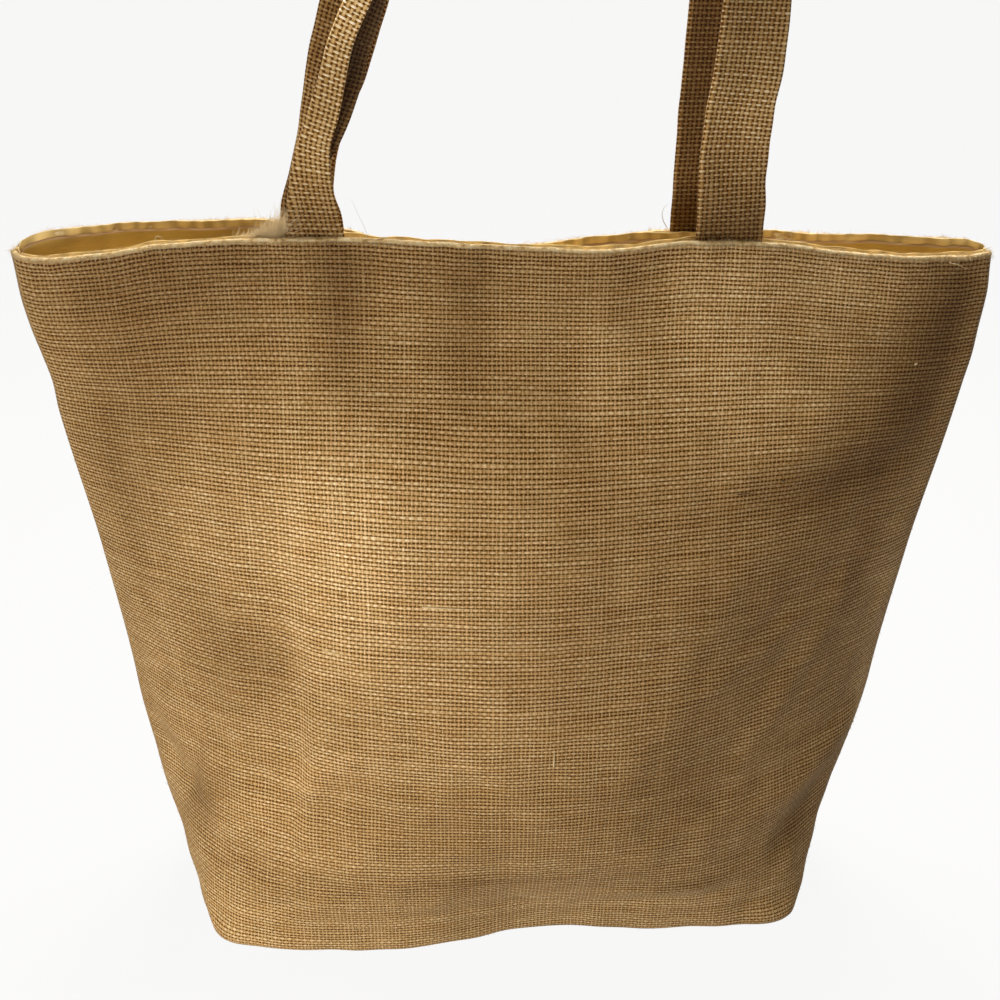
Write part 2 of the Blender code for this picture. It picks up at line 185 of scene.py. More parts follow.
# %% Reading a short table
def column(table, name):
    """One named column of a table, as an array."""
    return np.array([getattr(row, name) for row in table], dtype=float)


def smooth_read(knots, values, where):
    """A cubic through (knots, values) whose slope at a row is the harmonic mean of the
    two rises beside it, or level where they differ in sign."""
    steps = np.diff(knots)
    rises = np.diff(values) / steps
    slopes = np.concatenate([rises[:1], np.zeros(len(knots) - 2), rises[-1:]])
    before, after = rises[:-1], rises[1:]
    rolling = before * after > 0
    slopes[1:-1][rolling] = (2 * before * after)[rolling] / (before + after)[rolling]
    cell = np.clip(np.searchsorted(knots, where) - 1, 0, len(steps) - 1)
    t = np.clip((where - knots[cell]) / steps[cell], 0, 1)
    bend_in = slopes[cell] * steps[cell]
    bend_out = slopes[cell + 1] * steps[cell]
    return (values[cell] * (1 + 2 * t) * (1 - t) ** 2 + bend_in * t * (1 - t) ** 2
            + values[cell + 1] * t * t * (3 - 2 * t) - bend_out * t * t * (1 - t))


def read_row(table, key, name, where):
    """Column `name` of a table whose rows lie along column `key`, read at `where`."""
    return smooth_read(column(table, key), column(table, name), np.asarray(where, dtype=float))


def ease(t):
    """0 to 1 with level ends: 3 t^2 - 2 t^3."""
    t = np.clip(t, 0, 1)
    return t * t * (3 - 2 * t)


def unit(vectors):
    """The same directions with length one."""
    return vectors / np.maximum(np.linalg.norm(vectors, axis=-1, keepdims=True), 1e-12)


def between(table, row, place):
    """A table read between its rows and columns, straight in both directions."""
    low = np.minimum(np.floor(row).astype(int), len(table) - 2)
    left = np.minimum(np.floor(place).astype(int), table.shape[1] - 2)
    up, right = row - low, place - left
    if table.ndim > 2:
        up, right = up[..., None], right[..., None]
    return ((1 - up) * ((1 - right) * table[low, left] + right * table[low, left + 1])
            + up * ((1 - right) * table[low + 1, left] + right * table[low + 1, left + 1]))


print("halfway of an ease:", ease(0.5))

# %% [markdown]
# ## The bag's level outlines
#
# Jute cloth bends but doesn't stretch, so every level outline of the bag has the same
# girth. At the base it is a rounded rectangle, where the boxed corners hold it open, and
# at the rim a narrow lens. Between them |x / a|^p + |y / b|^q = 1 turns smoothly from one
# to the other. The depth b and both powers come from a table, and the half width a is
# found by halving an interval until the girth is right.

# %% The bag's level outlines
PANEL_WIDTH = 0.457
RIM_HEIGHT = 0.370
RIM_SHAPE_START = 0.262
OUTLINE_STEPS = 500
SEARCH_STEPS = 36
LEVEL_COUNT, SHARE_COUNT = 223, 401
LEVELS = np.linspace(0, RIM_HEIGHT, LEVEL_COUNT)
SHARES = np.linspace(-1, 1, SHARE_COUNT)
LINING_INSET = 0.0046
SEAM_HALF_GAP = 0.002

Section = namedtuple("Section", "height depth end_power depth_power")
SECTIONS = (
    Section(0.000, 0.0775, 9.0, 8.0),
    Section(0.015, 0.0790, 5.7, 3.2),
    Section(0.060, 0.0865, 3.2, 1.30),
    Section(0.130, 0.0875, 2.0, 1.15),
    Section(0.210, 0.0760, 1.7, 1.20),
    Section(0.290, 0.0480, 1.6, 1.25),
    Section(0.345, 0.0250, 1.7, 1.50),
    Section(0.370, 0.0170, 2.0, 1.80),
)


def rim_share(level):
    """How much of the rim's own shape a level has: 0 low on the bag, 1 at the rim."""
    return ease((level - RIM_SHAPE_START) / (RIM_HEIGHT - RIM_SHAPE_START))


def quarter_outline(half_width, depth, end_power, depth_power):
    """A quarter outline: x = a sin^(2/p), y = b cos^(2/q), middle to end, a row a level."""
    angle = np.linspace(0, np.pi / 2, OUTLINE_STEPS)[None, :]
    return (half_width * np.sin(angle) ** (2 / end_power),
            depth * np.cos(angle) ** (2 / depth_power))


def half_widths(depth, end_power, depth_power):
    """The half widths that give every level the girth of two panels, by halving."""
    low = np.full_like(depth, PANEL_WIDTH / 4)
    high = np.full_like(depth, PANEL_WIDTH / 2)
    for _ in range(SEARCH_STEPS):
        middle = (low + high) / 2
        x, y = quarter_outline(middle, depth, end_power, depth_power)
        length = np.hypot(np.diff(x), np.diff(y)).sum(axis=1, keepdims=True)
        long = 2 * length > PANEL_WIDTH
        high = np.where(long, middle, high)
        low = np.where(long, low, middle)
    return low


def outline_table(inset):
    """x and depth at every level and share of the panel, and the full half widths."""
    depth, end_power, depth_power = (read_row(SECTIONS, "height", name, LEVELS)[:, None]
                                     for name in ("depth", "end_power", "depth_power"))
    full = half_widths(depth, end_power, depth_power)
    half_width = full
    if inset:
        closing = ((inset + SEAM_HALF_GAP) / depth) ** depth_power
        closing = closing * (1 - rim_share(LEVELS)[:, None])
        half_width = np.minimum(full - inset, full * (1 - closing) ** (1 / end_power))
    x, y = quarter_outline(half_width, depth - inset, end_power, depth_power)
    x = np.concatenate([-x[:, ::-1], x[:, 1:]], axis=1)
    y = np.concatenate([y[:, ::-1], y[:, 1:]], axis=1)
    run = np.cumsum(np.hypot(np.diff(x), np.diff(y)), axis=1)
    run = np.concatenate([np.zeros((len(run), 1)), run], axis=1)
    stops = [np.linspace(0, row[-1], len(SHARES)) for row in run]
    return (np.array([np.interp(*each) for each in zip(stops, run, x)]),
            np.array([np.interp(*each) for each in zip(stops, run, y)]), full[:, 0])


def read_grid(table, share, level):
    """A levels-by-shares table read at places of the panel."""
    return between(table, np.clip(level / RIM_HEIGHT, 0, 1) * (len(LEVELS) - 1),
                   np.clip((share + 1) / 2, 0, 1) * (len(SHARES) - 1))


OUTLINES = {inset: outline_table(inset) for inset in (0.0, LINING_INSET)}
print("half width at base and rim:", np.round(OUTLINES[0.0][2][[0, -1]], 4))

# %% [markdown]
# ## The rim
#
# The rim is not level: it dips at both ends and stands up where the straps are sewn in.
# The back rim bows away from the front one at the left, and lies against it in the
# middle. Each is a short table across the bag, blended in over the top of the panel.

# %% The rim
RimPoint = namedtuple("RimPoint", "across depth height")
FRONT_RIM = (
    RimPoint(-1.000, 0.0000, 0.3665),
    RimPoint(-0.985, -0.0044, 0.3652),
    RimPoint(-0.950, -0.0056, 0.3638),
    RimPoint(-0.820, -0.0070, 0.3662),
    RimPoint(-0.70, -0.0093, 0.3712),
    RimPoint(-0.50, -0.0124, 0.3746),
    RimPoint(-0.33, -0.0135, 0.3754),
    RimPoint(-0.10, -0.0140, 0.3732),
    RimPoint(0.17, -0.0140, 0.3708),
    RimPoint(0.38, -0.0133, 0.3747),
    RimPoint(0.52, -0.0121, 0.3738),
    RimPoint(0.68, -0.0098, 0.3694),
    RimPoint(0.86, -0.0068, 0.3665),
    RimPoint(0.93, -0.0052, 0.3665),
    RimPoint(0.985, -0.0042, 0.3680),
    RimPoint(1.00, 0.0000, 0.3676),
)
BACK_RIM = (
    RimPoint(-1.000, 0.0000, 0.3665),
    RimPoint(-0.985, 0.0048, 0.3685),
    RimPoint(-0.930, 0.0100, 0.3735),
    RimPoint(-0.76, 0.0240, 0.3740),
    RimPoint(-0.53, 0.0340, 0.3740),
    RimPoint(-0.41, 0.0300, 0.3735),
    RimPoint(-0.34, 0.0215, 0.3725),
    RimPoint(-0.26, 0.0100, 0.3697),
    RimPoint(-0.14, 0.0035, 0.3682),
    RimPoint(0.02, 0.0020, 0.3695),
    RimPoint(0.18, 0.0080, 0.3720),
    RimPoint(0.34, 0.0230, 0.3722),
    RimPoint(0.50, 0.0230, 0.3720),
    RimPoint(0.72, 0.0140, 0.3720),
    RimPoint(0.93, 0.0078, 0.3720),
    RimPoint(0.985, 0.0046, 0.3692),
    RimPoint(1.00, 0.0000, 0.3676),
)
FRONT, BACK = -1, 1
RIMS = {FRONT: FRONT_RIM, BACK: BACK_RIM}


def cloth_place(side, share, level, inset=0.0):
    """Points of a panel before its folds: the outline, turned bit by bit into the rim."""
    table_x, table_depth, full = OUTLINES[inset]
    x = read_grid(table_x, share, level)
    depth = read_grid(table_depth, share, level)
    across = x / np.interp(level, LEVELS, full)
    part = rim_share(level)
    rim_y = read_row(RIMS[side], "across", "depth", across) - side * inset
    lift = read_row(RIMS[side], "across", "height", across) - RIM_HEIGHT
    return np.stack([x, (1 - part) * side * depth + part * rim_y, level + part * lift], axis=-1)


def outward(grid, side):
    """Unit normals of a grid of cloth that point out of the bag: along cross up."""
    return unit(-side * np.cross(np.gradient(grid, axis=1), np.gradient(grid, axis=0)))


print("front rim, middle:", np.round(cloth_place(FRONT, np.array(0.0), np.array(RIM_HEIGHT)), 4))

# %% [markdown]
# ## Folds
#
# A bag that was folded flat for a while keeps soft creases. Each is a long mound or
# trough with fading ends, placed on the flat panel: a bell curve that is long
# one way and narrow the other. Fine unevenness between them is a sum of a few dozen
# low waves of random direction, which is smooth and the same on each run.

# %% Where the folds lie
Fold = namedtuple("Fold", "across height length width turn rise")
# How far each side edge stands out past the even outline, by height.
Flare = namedtuple("Flare", "height left right")
FLARES = (
    Flare(0.000, 0.0042, 0.0056),
    Flare(0.018, 0.0018, 0.0008),
    Flare(0.045, 0.0022, -0.0006),
    Flare(0.065, 0.0018, 0.0008),
    Flare(0.090, 0.0002, 0.0020),
    Flare(0.130, -0.0004, 0.0026),
    Flare(0.200, -0.0008, 0.0023),
    Flare(0.287, -0.0009, 0.0022),
    Flare(0.303, -0.0018, 0.0023),
    Flare(0.318, -0.0004, 0.0027),
    Flare(0.333, 0.0016, 0.0020),
    Flare(0.349, 0.0027, 0.0018),
    Flare(0.363, 0.0028, 0.0002),
    Flare(0.371, 0.0031, -0.0007),
)
FRONT_FOLDS = (
    Fold(-0.120, 0.165, 0.090, 0.016, 4, -0.0045),
    Fold(-0.068, 0.230, 0.100, 0.030, 8, 0.0030),
    Fold(0.110, 0.215, 0.120, 0.026, 32, 0.0035),
    Fold(0.190, 0.098, 0.040, 0.014, 65, 0.0045),
    Fold(0.185, 0.070, 0.032, 0.013, 70, -0.0040),
    Fold(-0.205, 0.090, 0.035, 0.014, -55, -0.0040),
)
BACK_FOLDS = (
    Fold(0.120, 0.170, 0.090, 0.018, -5, -0.0040),
    Fold(-0.100, 0.200, 0.110, 0.026, -28, 0.0030),
    Fold(0.080, 0.300, 0.060, 0.018, 8, -0.0025),
)
FRONT_TUCKS = (
    Fold(0.070, 0.006, 0.120, 0.055, 90, -0.0085),
    Fold(0.020, 0.006, 0.055, 0.055, 90, -0.0070),
    Fold(0.145, 0.006, 0.050, 0.055, 90, -0.0045),
    Fold(-0.055, 0.008, 0.050, 0.040, 90, 0.0040),
)
BACK_TUCKS = (
    Fold(-0.060, 0.006, 0.060, 0.050, 90, -0.0080),
    Fold(0.110, 0.006, 0.050, 0.045, 90, 0.0030),
)
# Creases too fine for the solid, which only the cloth shows.
FRONT_CREASES = (
    Fold(-0.111, 0.120, 0.055, 0.0065, 6, -0.0016),
    Fold(-0.103, 0.105, 0.050, 0.0070, 8, 0.0015),
    Fold(-0.012, 0.030, 0.040, 0.0060, 88, -0.0012),
    Fold(0.085, 0.038, 0.050, 0.0060, 84, 0.0016),
    Fold(0.080, 0.029, 0.042, 0.0050, 86, -0.0014),
    Fold(-0.186, 0.085, 0.030, 0.0060, 24, -0.0018),
    Fold(0.150, 0.150, 0.060, 0.0090, 40, 0.0014),
    Fold(-0.030, 0.150, 0.060, 0.0100, -50, 0.0010),
    Fold(0.030, 0.110, 0.070, 0.0100, 62, 0.0009),
    Fold(-0.105, 0.114, 0.060, 0.0080, 51, 0.0010),
    Fold(-0.092, 0.104, 0.055, 0.0080, 54, -0.0009),
    Fold(0.160, 0.262, 0.050, 0.0100, 78, -0.0016),
    Fold(0.120, 0.178, 0.050, 0.0080, 60, 0.0013),
    Fold(0.140, 0.196, 0.045, 0.0070, 62, -0.0011),
)
BACK_CREASES = (
    Fold(0.110, 0.110, 0.050, 0.0070, -8, -0.0015),
    Fold(-0.080, 0.120, 0.060, 0.0080, 35, 0.0014),
    Fold(-0.150, 0.080, 0.040, 0.0070, 60, -0.0014),
)
# Painted light and shade, placed in the same way: broad light and dark that the lamps don't give.
# Here the rise is a change of brightness, where 1 is twice as bright and -1 is half.
FRONT_PAINTED_SHADING = (
    Fold(-0.072, 0.243, 0.052, 0.050, 0, 0.60),
    Fold(-0.148, 0.178, 0.034, 0.026, -20, -0.70),
    Fold(-0.168, 0.345, 0.040, 0.050, 0, -0.70),
    Fold(-0.203, 0.270, 0.030, 0.016, 0, -0.45),
    Fold(-0.078, 0.345, 0.038, 0.013, 0, -0.85),
    Fold(-0.022, 0.342, 0.036, 0.013, 0, -0.55),
    Fold(0.058, 0.353, 0.024, 0.015, 0, -0.55),
    Fold(-0.075, 0.362, 0.150, 0.014, 92, -0.32),
    Fold(0.100, 0.312, 0.040, 0.055, 0, 0.70),
    Fold(0.045, 0.320, 0.016, 0.014, 0, 0.25),
    Fold(0.203, 0.335, 0.050, 0.016, 8, -1.10),
    Fold(0.188, 0.283, 0.030, 0.022, 25, -0.70),
    Fold(0.160, 0.261, 0.045, 0.012, 78, -0.65),
    Fold(0.140, 0.205, 0.060, 0.050, 0, -0.32),
    Fold(0.085, 0.130, 0.060, 0.060, 0, -0.35),
    Fold(0.020, 0.060, 0.130, 0.026, 90, -0.35),
    Fold(-0.012, 0.055, 0.032, 0.005, 92, -0.40),
    Fold(0.098, 0.042, 0.032, 0.005, 88, -0.45),
    Fold(0.170, 0.056, 0.022, 0.010, 60, -0.60),
    Fold(-0.177, 0.076, 0.022, 0.013, 40, -0.75),
    Fold(-0.105, 0.114, 0.058, 0.009, 51, 0.18),
    Fold(-0.100, 0.048, 0.060, 0.016, 90, -0.35),
    Fold(-0.165, 0.130, 0.060, 0.030, 0, -0.20),
    Fold(0.218, 0.145, 0.070, 0.014, 0, 0.60),
    Fold(-0.012, 0.108, 0.075, 0.028, 92, -0.30),
    Fold(0.128, 0.266, 0.020, 0.010, 80, -0.45),
    Fold(-0.120, 0.176, 0.022, 0.014, 0, -0.35),
    Fold(0.214, 0.345, 0.030, 0.010, 5, -0.60),
    Fold(-0.138, 0.355, 0.020, 0.030, 0, -0.35),
    Fold(-0.195, 0.245, 0.090, 0.026, 8, -0.30),
    Fold(0.035, 0.235, 0.060, 0.018, 0, -0.22),
    Fold(0.195, 0.255, 0.080, 0.020, 12, -0.22),
    Fold(0.145, 0.352, 0.045, 0.014, 90, 0.38),
    Fold(0.070, 0.352, 0.024, 0.012, 90, 0.28),
    Fold(0.163, 0.262, 0.030, 0.014, 0, -0.30),
    Fold(0.208, 0.296, 0.030, 0.012, 8, -0.35),
    Fold(0.183, 0.205, 0.030, 0.010, 10, -0.35),
    Fold(0.122, 0.250, 0.024, 0.014, 0, 0.22),
    Fold(-0.052, 0.152, 0.050, 0.016, 90, -0.20),
    Fold(0.040, 0.318, 0.024, 0.014, 0, 0.25),
)
BACK_PAINTED_SHADING = (
    Fold(0.080, 0.220, 0.060, 0.050, 0, 0.30),
    Fold(-0.150, 0.310, 0.050, 0.040, 0, -0.45),
    Fold(0.000, 0.050, 0.150, 0.026, 90, -0.30),
    Fold(0.180, 0.150, 0.050, 0.022, 10, -0.35),
    Fold(-0.060, 0.130, 0.060, 0.012, 48, 0.25),
)
PAINTED_SHADING = {FRONT: FRONT_PAINTED_SHADING, BACK: BACK_PAINTED_SHADING}
FOLDS = {FRONT: FRONT_FOLDS, BACK: BACK_FOLDS}
TUCKS = {FRONT: FRONT_TUCKS, BACK: BACK_TUCKS}
CREASES = {FRONT: FRONT_CREASES, BACK: BACK_CREASES}
FOLDS_END = 0.330
FOLDS_END_BAND = 0.040
SEAM_BAND = 0.020
CORNER_BAND = 0.100
LEVEL_BAND = 0.030
FLARE_POWER = 3
Ripple = namedtuple("Ripple", "spread shortest longest seed count")
print("folds and marks placed by hand:", sum(
    len(rows) for kind in (FOLDS, TUCKS, CREASES, PAINTED_SHADING) for rows in kind.values()))


# %% Fold the cloth
def fold_rise(folds, across, height):
    """Sum over the folds of rise * exp(-(along / length)^2 - (sideways / width)^2)."""
    total = np.zeros(np.broadcast(across, height).shape)
    for fold in folds:
        lean = np.radians(fold.turn)
        right, up = across - fold.across, height - fold.height
        lengthwise = right * np.sin(lean) + up * np.cos(lean)
        sideways = right * np.cos(lean) - up * np.sin(lean)
        total += fold.rise * np.exp(-(lengthwise / fold.length) ** 2 - (sideways / fold.width) ** 2)
    return total


def waves(ripple, across, up, salt):
    """Low random waves: the mean of cos(k . place + phase), scaled to the ripple's spread."""
    draw = np.random.default_rng(ripple.seed + salt)
    length = np.exp(draw.uniform(np.log(ripple.shortest), np.log(ripple.longest), ripple.count))
    heading = draw.uniform(0, np.pi, ripple.count)
    phase = draw.uniform(0, 2 * np.pi, ripple.count)
    total = np.zeros(np.broadcast(across, up).shape)
    for size, way, start in zip(length, heading, phase):
        total += np.cos(2 * np.pi * (across * np.cos(way) + up * np.sin(way)) / size + start)
    return ripple.spread * (total * np.sqrt(2 / ripple.count))


def drape(grid, side, share, level, extra=0.0):
    """Move a panel's points out along their normals by its folds, and level by its tucks."""
    across = share * PANEL_WIDTH / 2
    from_seam = PANEL_WIDTH / 2 - np.abs(across)
    rise = fold_rise(FOLDS[side] + CREASES[side], across, level)
    rise = rise * (1 - ease((level - FOLDS_END) / FOLDS_END_BAND)) + extra
    rise = rise * ease(from_seam / SEAM_BAND)
    push = outward(grid, side)
    push[..., 2] *= 1 - ease((LEVEL_BAND - level) / LEVEL_BAND)
    grid = grid + rise[..., None] * push
    left, right = (read_row(FLARES, "height", name, level) for name in ("left", "right"))
    grid[..., 0] += np.where(share < 0, -left, right) * np.abs(share) ** FLARE_POWER
    grid[..., 1] += side * fold_rise(TUCKS[side], across, level) * ease(from_seam / CORNER_BAND)
    return grid


print("deepest fold, mm:", 1000 * min(fold.rise for fold in FRONT_FOLDS))

# %% [markdown]
# ## From a grid to a mesh
#
# A piece of cloth is a grid of points, so its faces are worked out from the grid's own
# rows and columns in one go. Its threads are kept in a UV map that counts them: one
# unit is one thread, whichever way the cloth bends. The weave can then be drawn in the
# material without ever stretching.

# %% From a grid to a mesh
WARP_PITCH = 0.00197
WEFT_PITCH = 0.00196


def corners(grid):
    """The four corners of each cell of a grid, in turn round the cell."""
    return np.stack([grid[:-1, :-1], grid[:-1, 1:], grid[1:, 1:], grid[1:, :-1]], axis=2)


def new_mesh(name, points, *face_sets):
    """A mesh from an array of points and arrays of faces, each with its own corner count."""
    mesh = bpy.data.meshes.new(name)
    mesh.vertices.add(len(points))
    mesh.vertices.foreach_set("co", np.asarray(points, dtype=np.float32).ravel())
    corner_points = np.concatenate([faces.ravel() for faces in face_sets])
    sizes = np.concatenate([np.full(len(faces), faces.shape[1]) for faces in face_sets])
    mesh.loops.add(len(corner_points))
    mesh.loops.foreach_set("vertex_index", corner_points.astype(np.int32))
    mesh.polygons.add(len(sizes))
    mesh.polygons.foreach_set("loop_start", (np.cumsum(sizes) - sizes).astype(np.int32))
    mesh.update(calc_edges=True)
    mesh.shade_smooth()
    return mesh


def weld(mesh):
    """Close the places where points of the grid fall together."""
    shape = bmesh.new()
    shape.from_mesh(mesh)
    bmesh.ops.remove_doubles(shape, verts=shape.verts, dist=1e-5)
    bmesh.ops.dissolve_degenerate(shape, edges=shape.edges, dist=1e-6)
    shape.to_mesh(mesh)
    shape.free()


def set_threads(mesh, counts):
    """Keep the two thread counts of each corner of each face, as a UV map."""
    layer = mesh.uv_layers.new(name="Threads")
    layer.data.foreach_set("uv", np.asarray(counts, dtype=np.float32).ravel())


def set_tone(mesh, tones):
    """Keep a brightness for each point, as an attribute."""
    layer = mesh.attributes.new("Tone", "FLOAT", "POINT")
    layer.data.foreach_set("value", np.asarray(tones, dtype=np.float32).ravel())


def cloth_piece(name, grids, threads, tones, thickness, material):
    """One cloth object from grids sewn together where their edges meet.

    threads holds each grid's cells with a thread count at each corner, tones a brightness
    for each point.
    """
    points, faces, first = [], [], 0
    for grid, flip in grids:
        numbers = first + np.arange(grid.shape[0] * grid.shape[1]).reshape(grid.shape[:2])
        cells = corners(numbers).reshape(-1, 4)
        faces.append(cells[:, ::-1] if flip else cells)
        points.append(grid.reshape(-1, 3))
        first += numbers.size
    mesh = new_mesh(name, np.concatenate(points), np.concatenate(faces))
    counts = [cell[:, :, ::-1] if flip else cell for cell, (_, flip) in zip(threads, grids)]
    set_threads(mesh, np.concatenate([count.reshape(-1, 2) for count in counts]))
    set_tone(mesh, np.concatenate([tone.ravel() for tone in tones]))
    weld(mesh)
    mesh.materials.append(material)
    piece = add(bpy.data.objects.new(name, mesh))
    wall = piece.modifiers.new("Thickness", "SOLIDIFY")
    wall.thickness = thickness
    wall.offset = -1
    wall.use_even_offset = False
    wall.use_quality_normals = True
    return piece


print("threads across a panel:", round(PANEL_WIDTH / WARP_PITCH))

# %% [markdown]
# ## Wiring a material
#
# Every finish here is drawn by nodes, because that keeps it sharp at any size. Long
# formulas are tiresome to wire one node at a time, so a small helper takes numbers and
# other nodes' outputs alike, and each line of a recipe reads as a sum.
#
# Dark cloth is redder than bright cloth, because light passes through more of it. So a
# brightness is raised to a power of its own for red, green and blue.

# %% Wiring a material
SHADE_WARMTH = {"Red": 0.90, "Green": 1.05, "Blue": 1.35}
Lumps = namedtuple("Lumps", "across up seed strength detail")


class Recipe:
    """Adds nodes to one material. A value may be a number or another node's output."""

    def __init__(self, name):
        self.material = bpy.data.materials.new(name)
        self.material.use_nodes = True
        self.tree = self.material.node_tree
        self.cloth = self.tree.nodes["Principled BSDF"]

    def put(self, kind, inputs, **settings):
        """A new node with its settings, and each named input set or joined."""
        node = self.tree.nodes.new(kind)
        for name, value in settings.items():
            setattr(node, name, value)
        for name, value in inputs.items():
            self.join(node.inputs[name], value)
        return node

    def join(self, socket, value):
        """Link an output to the socket, or set the socket to a number."""
        if isinstance(value, bpy.types.NodeSocket):
            self.tree.links.new(value, socket)
        else:
            socket.default_value = value

    def calc(self, operation, *values):
        """One Math node."""
        node = self.tree.nodes.new("ShaderNodeMath")
        node.operation = operation
        for socket, value in zip(node.inputs, values):
            self.join(socket, value)
        return node.outputs[0]

    def times(self, first, second):
        """One value times another."""
        return self.calc("MULTIPLY", first, second)

    def total(self, *values):
        """The sum of several values."""
        answer = values[0]
        for value in values[1:]:
            answer = self.calc("ADD", answer, value)
        return answer

    def spread(self, value, low, high, new_low=0.0, new_high=1.0):
        """`value` from low..high stretched to new_low..new_high, and held inside them."""
        inputs = {"Value": value, "From Min": low, "From Max": high,
                  "To Min": new_low, "To Max": new_high}
        return self.put("ShaderNodeMapRange", inputs).outputs[0]

    def noise(self, lumps, x, y, seed=0.0):
        """Soft noise that strays half its strength either way from nothing, with `across`
        and `up` lumps to one unit of x and y."""
        place = self.put("ShaderNodeCombineXYZ", {
            "X": self.times(x, lumps.across), "Y": self.times(y, lumps.up), "Z": seed + lumps.seed})
        texture = self.put("ShaderNodeTexNoise", {
            "Vector": place.outputs[0], "Scale": 1.0, "Detail": lumps.detail})
        return self.times(self.calc("SUBTRACT", texture.outputs["Fac"], 0.5), lumps.strength)

    def patches(self, scale, detail, low, high):
        """Soft patches from low to high, `scale` of them to a metre of the piece."""
        place = self.put("ShaderNodeTexCoord", {}).outputs["Object"]
        texture = self.put("ShaderNodeTexNoise", {"Vector": place, "Scale": scale, "Detail": detail})
        return self.spread(texture.outputs["Fac"], 0.3, 0.7, low, high)

    def chance(self, number, seed):
        """A random value from 0 to 1 for each whole number."""
        node = self.put("ShaderNodeTexWhiteNoise", {"W": self.calc("ADD", number, seed)},
                        noise_dimensions="1D")
        return node.outputs["Value"]

    def ramp(self, value, stops):
        """A colour read from a short scale of (place, colour)."""
        node = self.put("ShaderNodeValToRGB", {"Fac": value})
        scale = node.color_ramp.elements
        while len(scale) < len(stops):
            scale.new(0.5)
        for element, (place, colour) in zip(scale, stops):
            element.position = place
            element.color = (*colour, 1)
        return node.outputs["Color"]

    def mix(self, factor, first, second, way="MIX"):
        """Two colours mixed; with way MULTIPLY the second tints the first."""
        node = self.tree.nodes.new("ShaderNodeMix")
        node.data_type = "RGBA"
        node.blend_type = way
        self.join(node.inputs[0], factor)
        for socket, value in ((node.inputs[6], first), (node.inputs[7], second)):
            self.join(socket, (*value, 1) if isinstance(value, tuple) else value)
        return node.outputs[2]

    def threads(self):
        """The two thread counts of the cloth at this place."""
        place = self.put("ShaderNodeUVMap", {}, uv_map="Threads")
        parts = self.put("ShaderNodeSeparateXYZ", {"Vector": place.outputs[0]})
        return parts.outputs["X"], parts.outputs["Y"]

    def tone(self):
        """The brightness that the mesh keeps at this place."""
        return self.put("ShaderNodeAttribute", {}, attribute_name="Tone").outputs["Fac"]

    def shaded(self, colour, light):
        """A colour times light ** power, with the powers of SHADE_WARMTH."""
        powers = {name: self.calc("POWER", light, power) for name, power in SHADE_WARMTH.items()}
        tint = self.put("ShaderNodeCombineColor", powers)
        return self.mix(1.0, colour, tint.outputs[0], "MULTIPLY")

    def finish(self, colour, settings):
        """Give the cloth its colour, and its fixed settings by name."""
        self.join(self.cloth.inputs["Base Color"], colour)
        for name, value in settings.items():
            self.cloth.inputs[name].default_value = value

    def bump(self, height, distance):
        """Tilt the cloth's face by a height field; distance is metres for one unit."""
        node = self.put("ShaderNodeBump", {"Height": height, "Distance": distance})
        self.tree.links.new(node.outputs[0], self.cloth.inputs["Normal"])


print("recipe steps:", [name for name in dir(Recipe) if not name.startswith("_")])

# %% [markdown]
# ## Jute in plain weave
#
# In plain weave each thread goes over one crossing thread and under the next. So a warp
# thread's height is cos(pi y) up and down, a weft thread's is the opposite, and what is
# seen is the higher of the two. The weft lies nearly straight and the warp bends round
# it, so the cloth looks ribbed sideways. Jute is spun unevenly: threads wander, swell
# into slubs and leave gaps, through which the dark inside shows. All of that is drawn
# here from the thread count, with noise that is long along a thread and short across it.
# In the straps it is the other way round: the warp is the thicker and straighter one.

# %% Threads that cross
Weave = namedtuple("Weave", "warp_lift weft_lift warp_half weft_half")
BODY_WEAVE = Weave(0.60, 0.26, 0.22, 0.33)
STRAP_WEAVE = Weave(0.34, 0.50, 0.31, 0.25)
THREAD_ROUND = 0.48
OUT_OF_REACH = 2.0
# Noise that moves threads aside, in threads: a wander along single threads, and a sway
# that moves many together.
WARP_DRIFTS = (Lumps(0.60, 0.060, 0, 0.34, 0.0), Lumps(0.035, 0.020, 21, 1.2, 0.0))
WEFT_DRIFTS = (Lumps(0.060, 0.60, 9, 0.40, 0.0), Lumps(0.022, 0.035, 33, 1.5, 0.0))
# How a thread's half breadth changes: by chance from thread to thread, and along each.
SPUN = 0.06
SWELL = Lumps(7.3, 0.13, 0, 0.18, 0.0)
WARP_SALT, WEFT_SALT = 3.0, 71.0


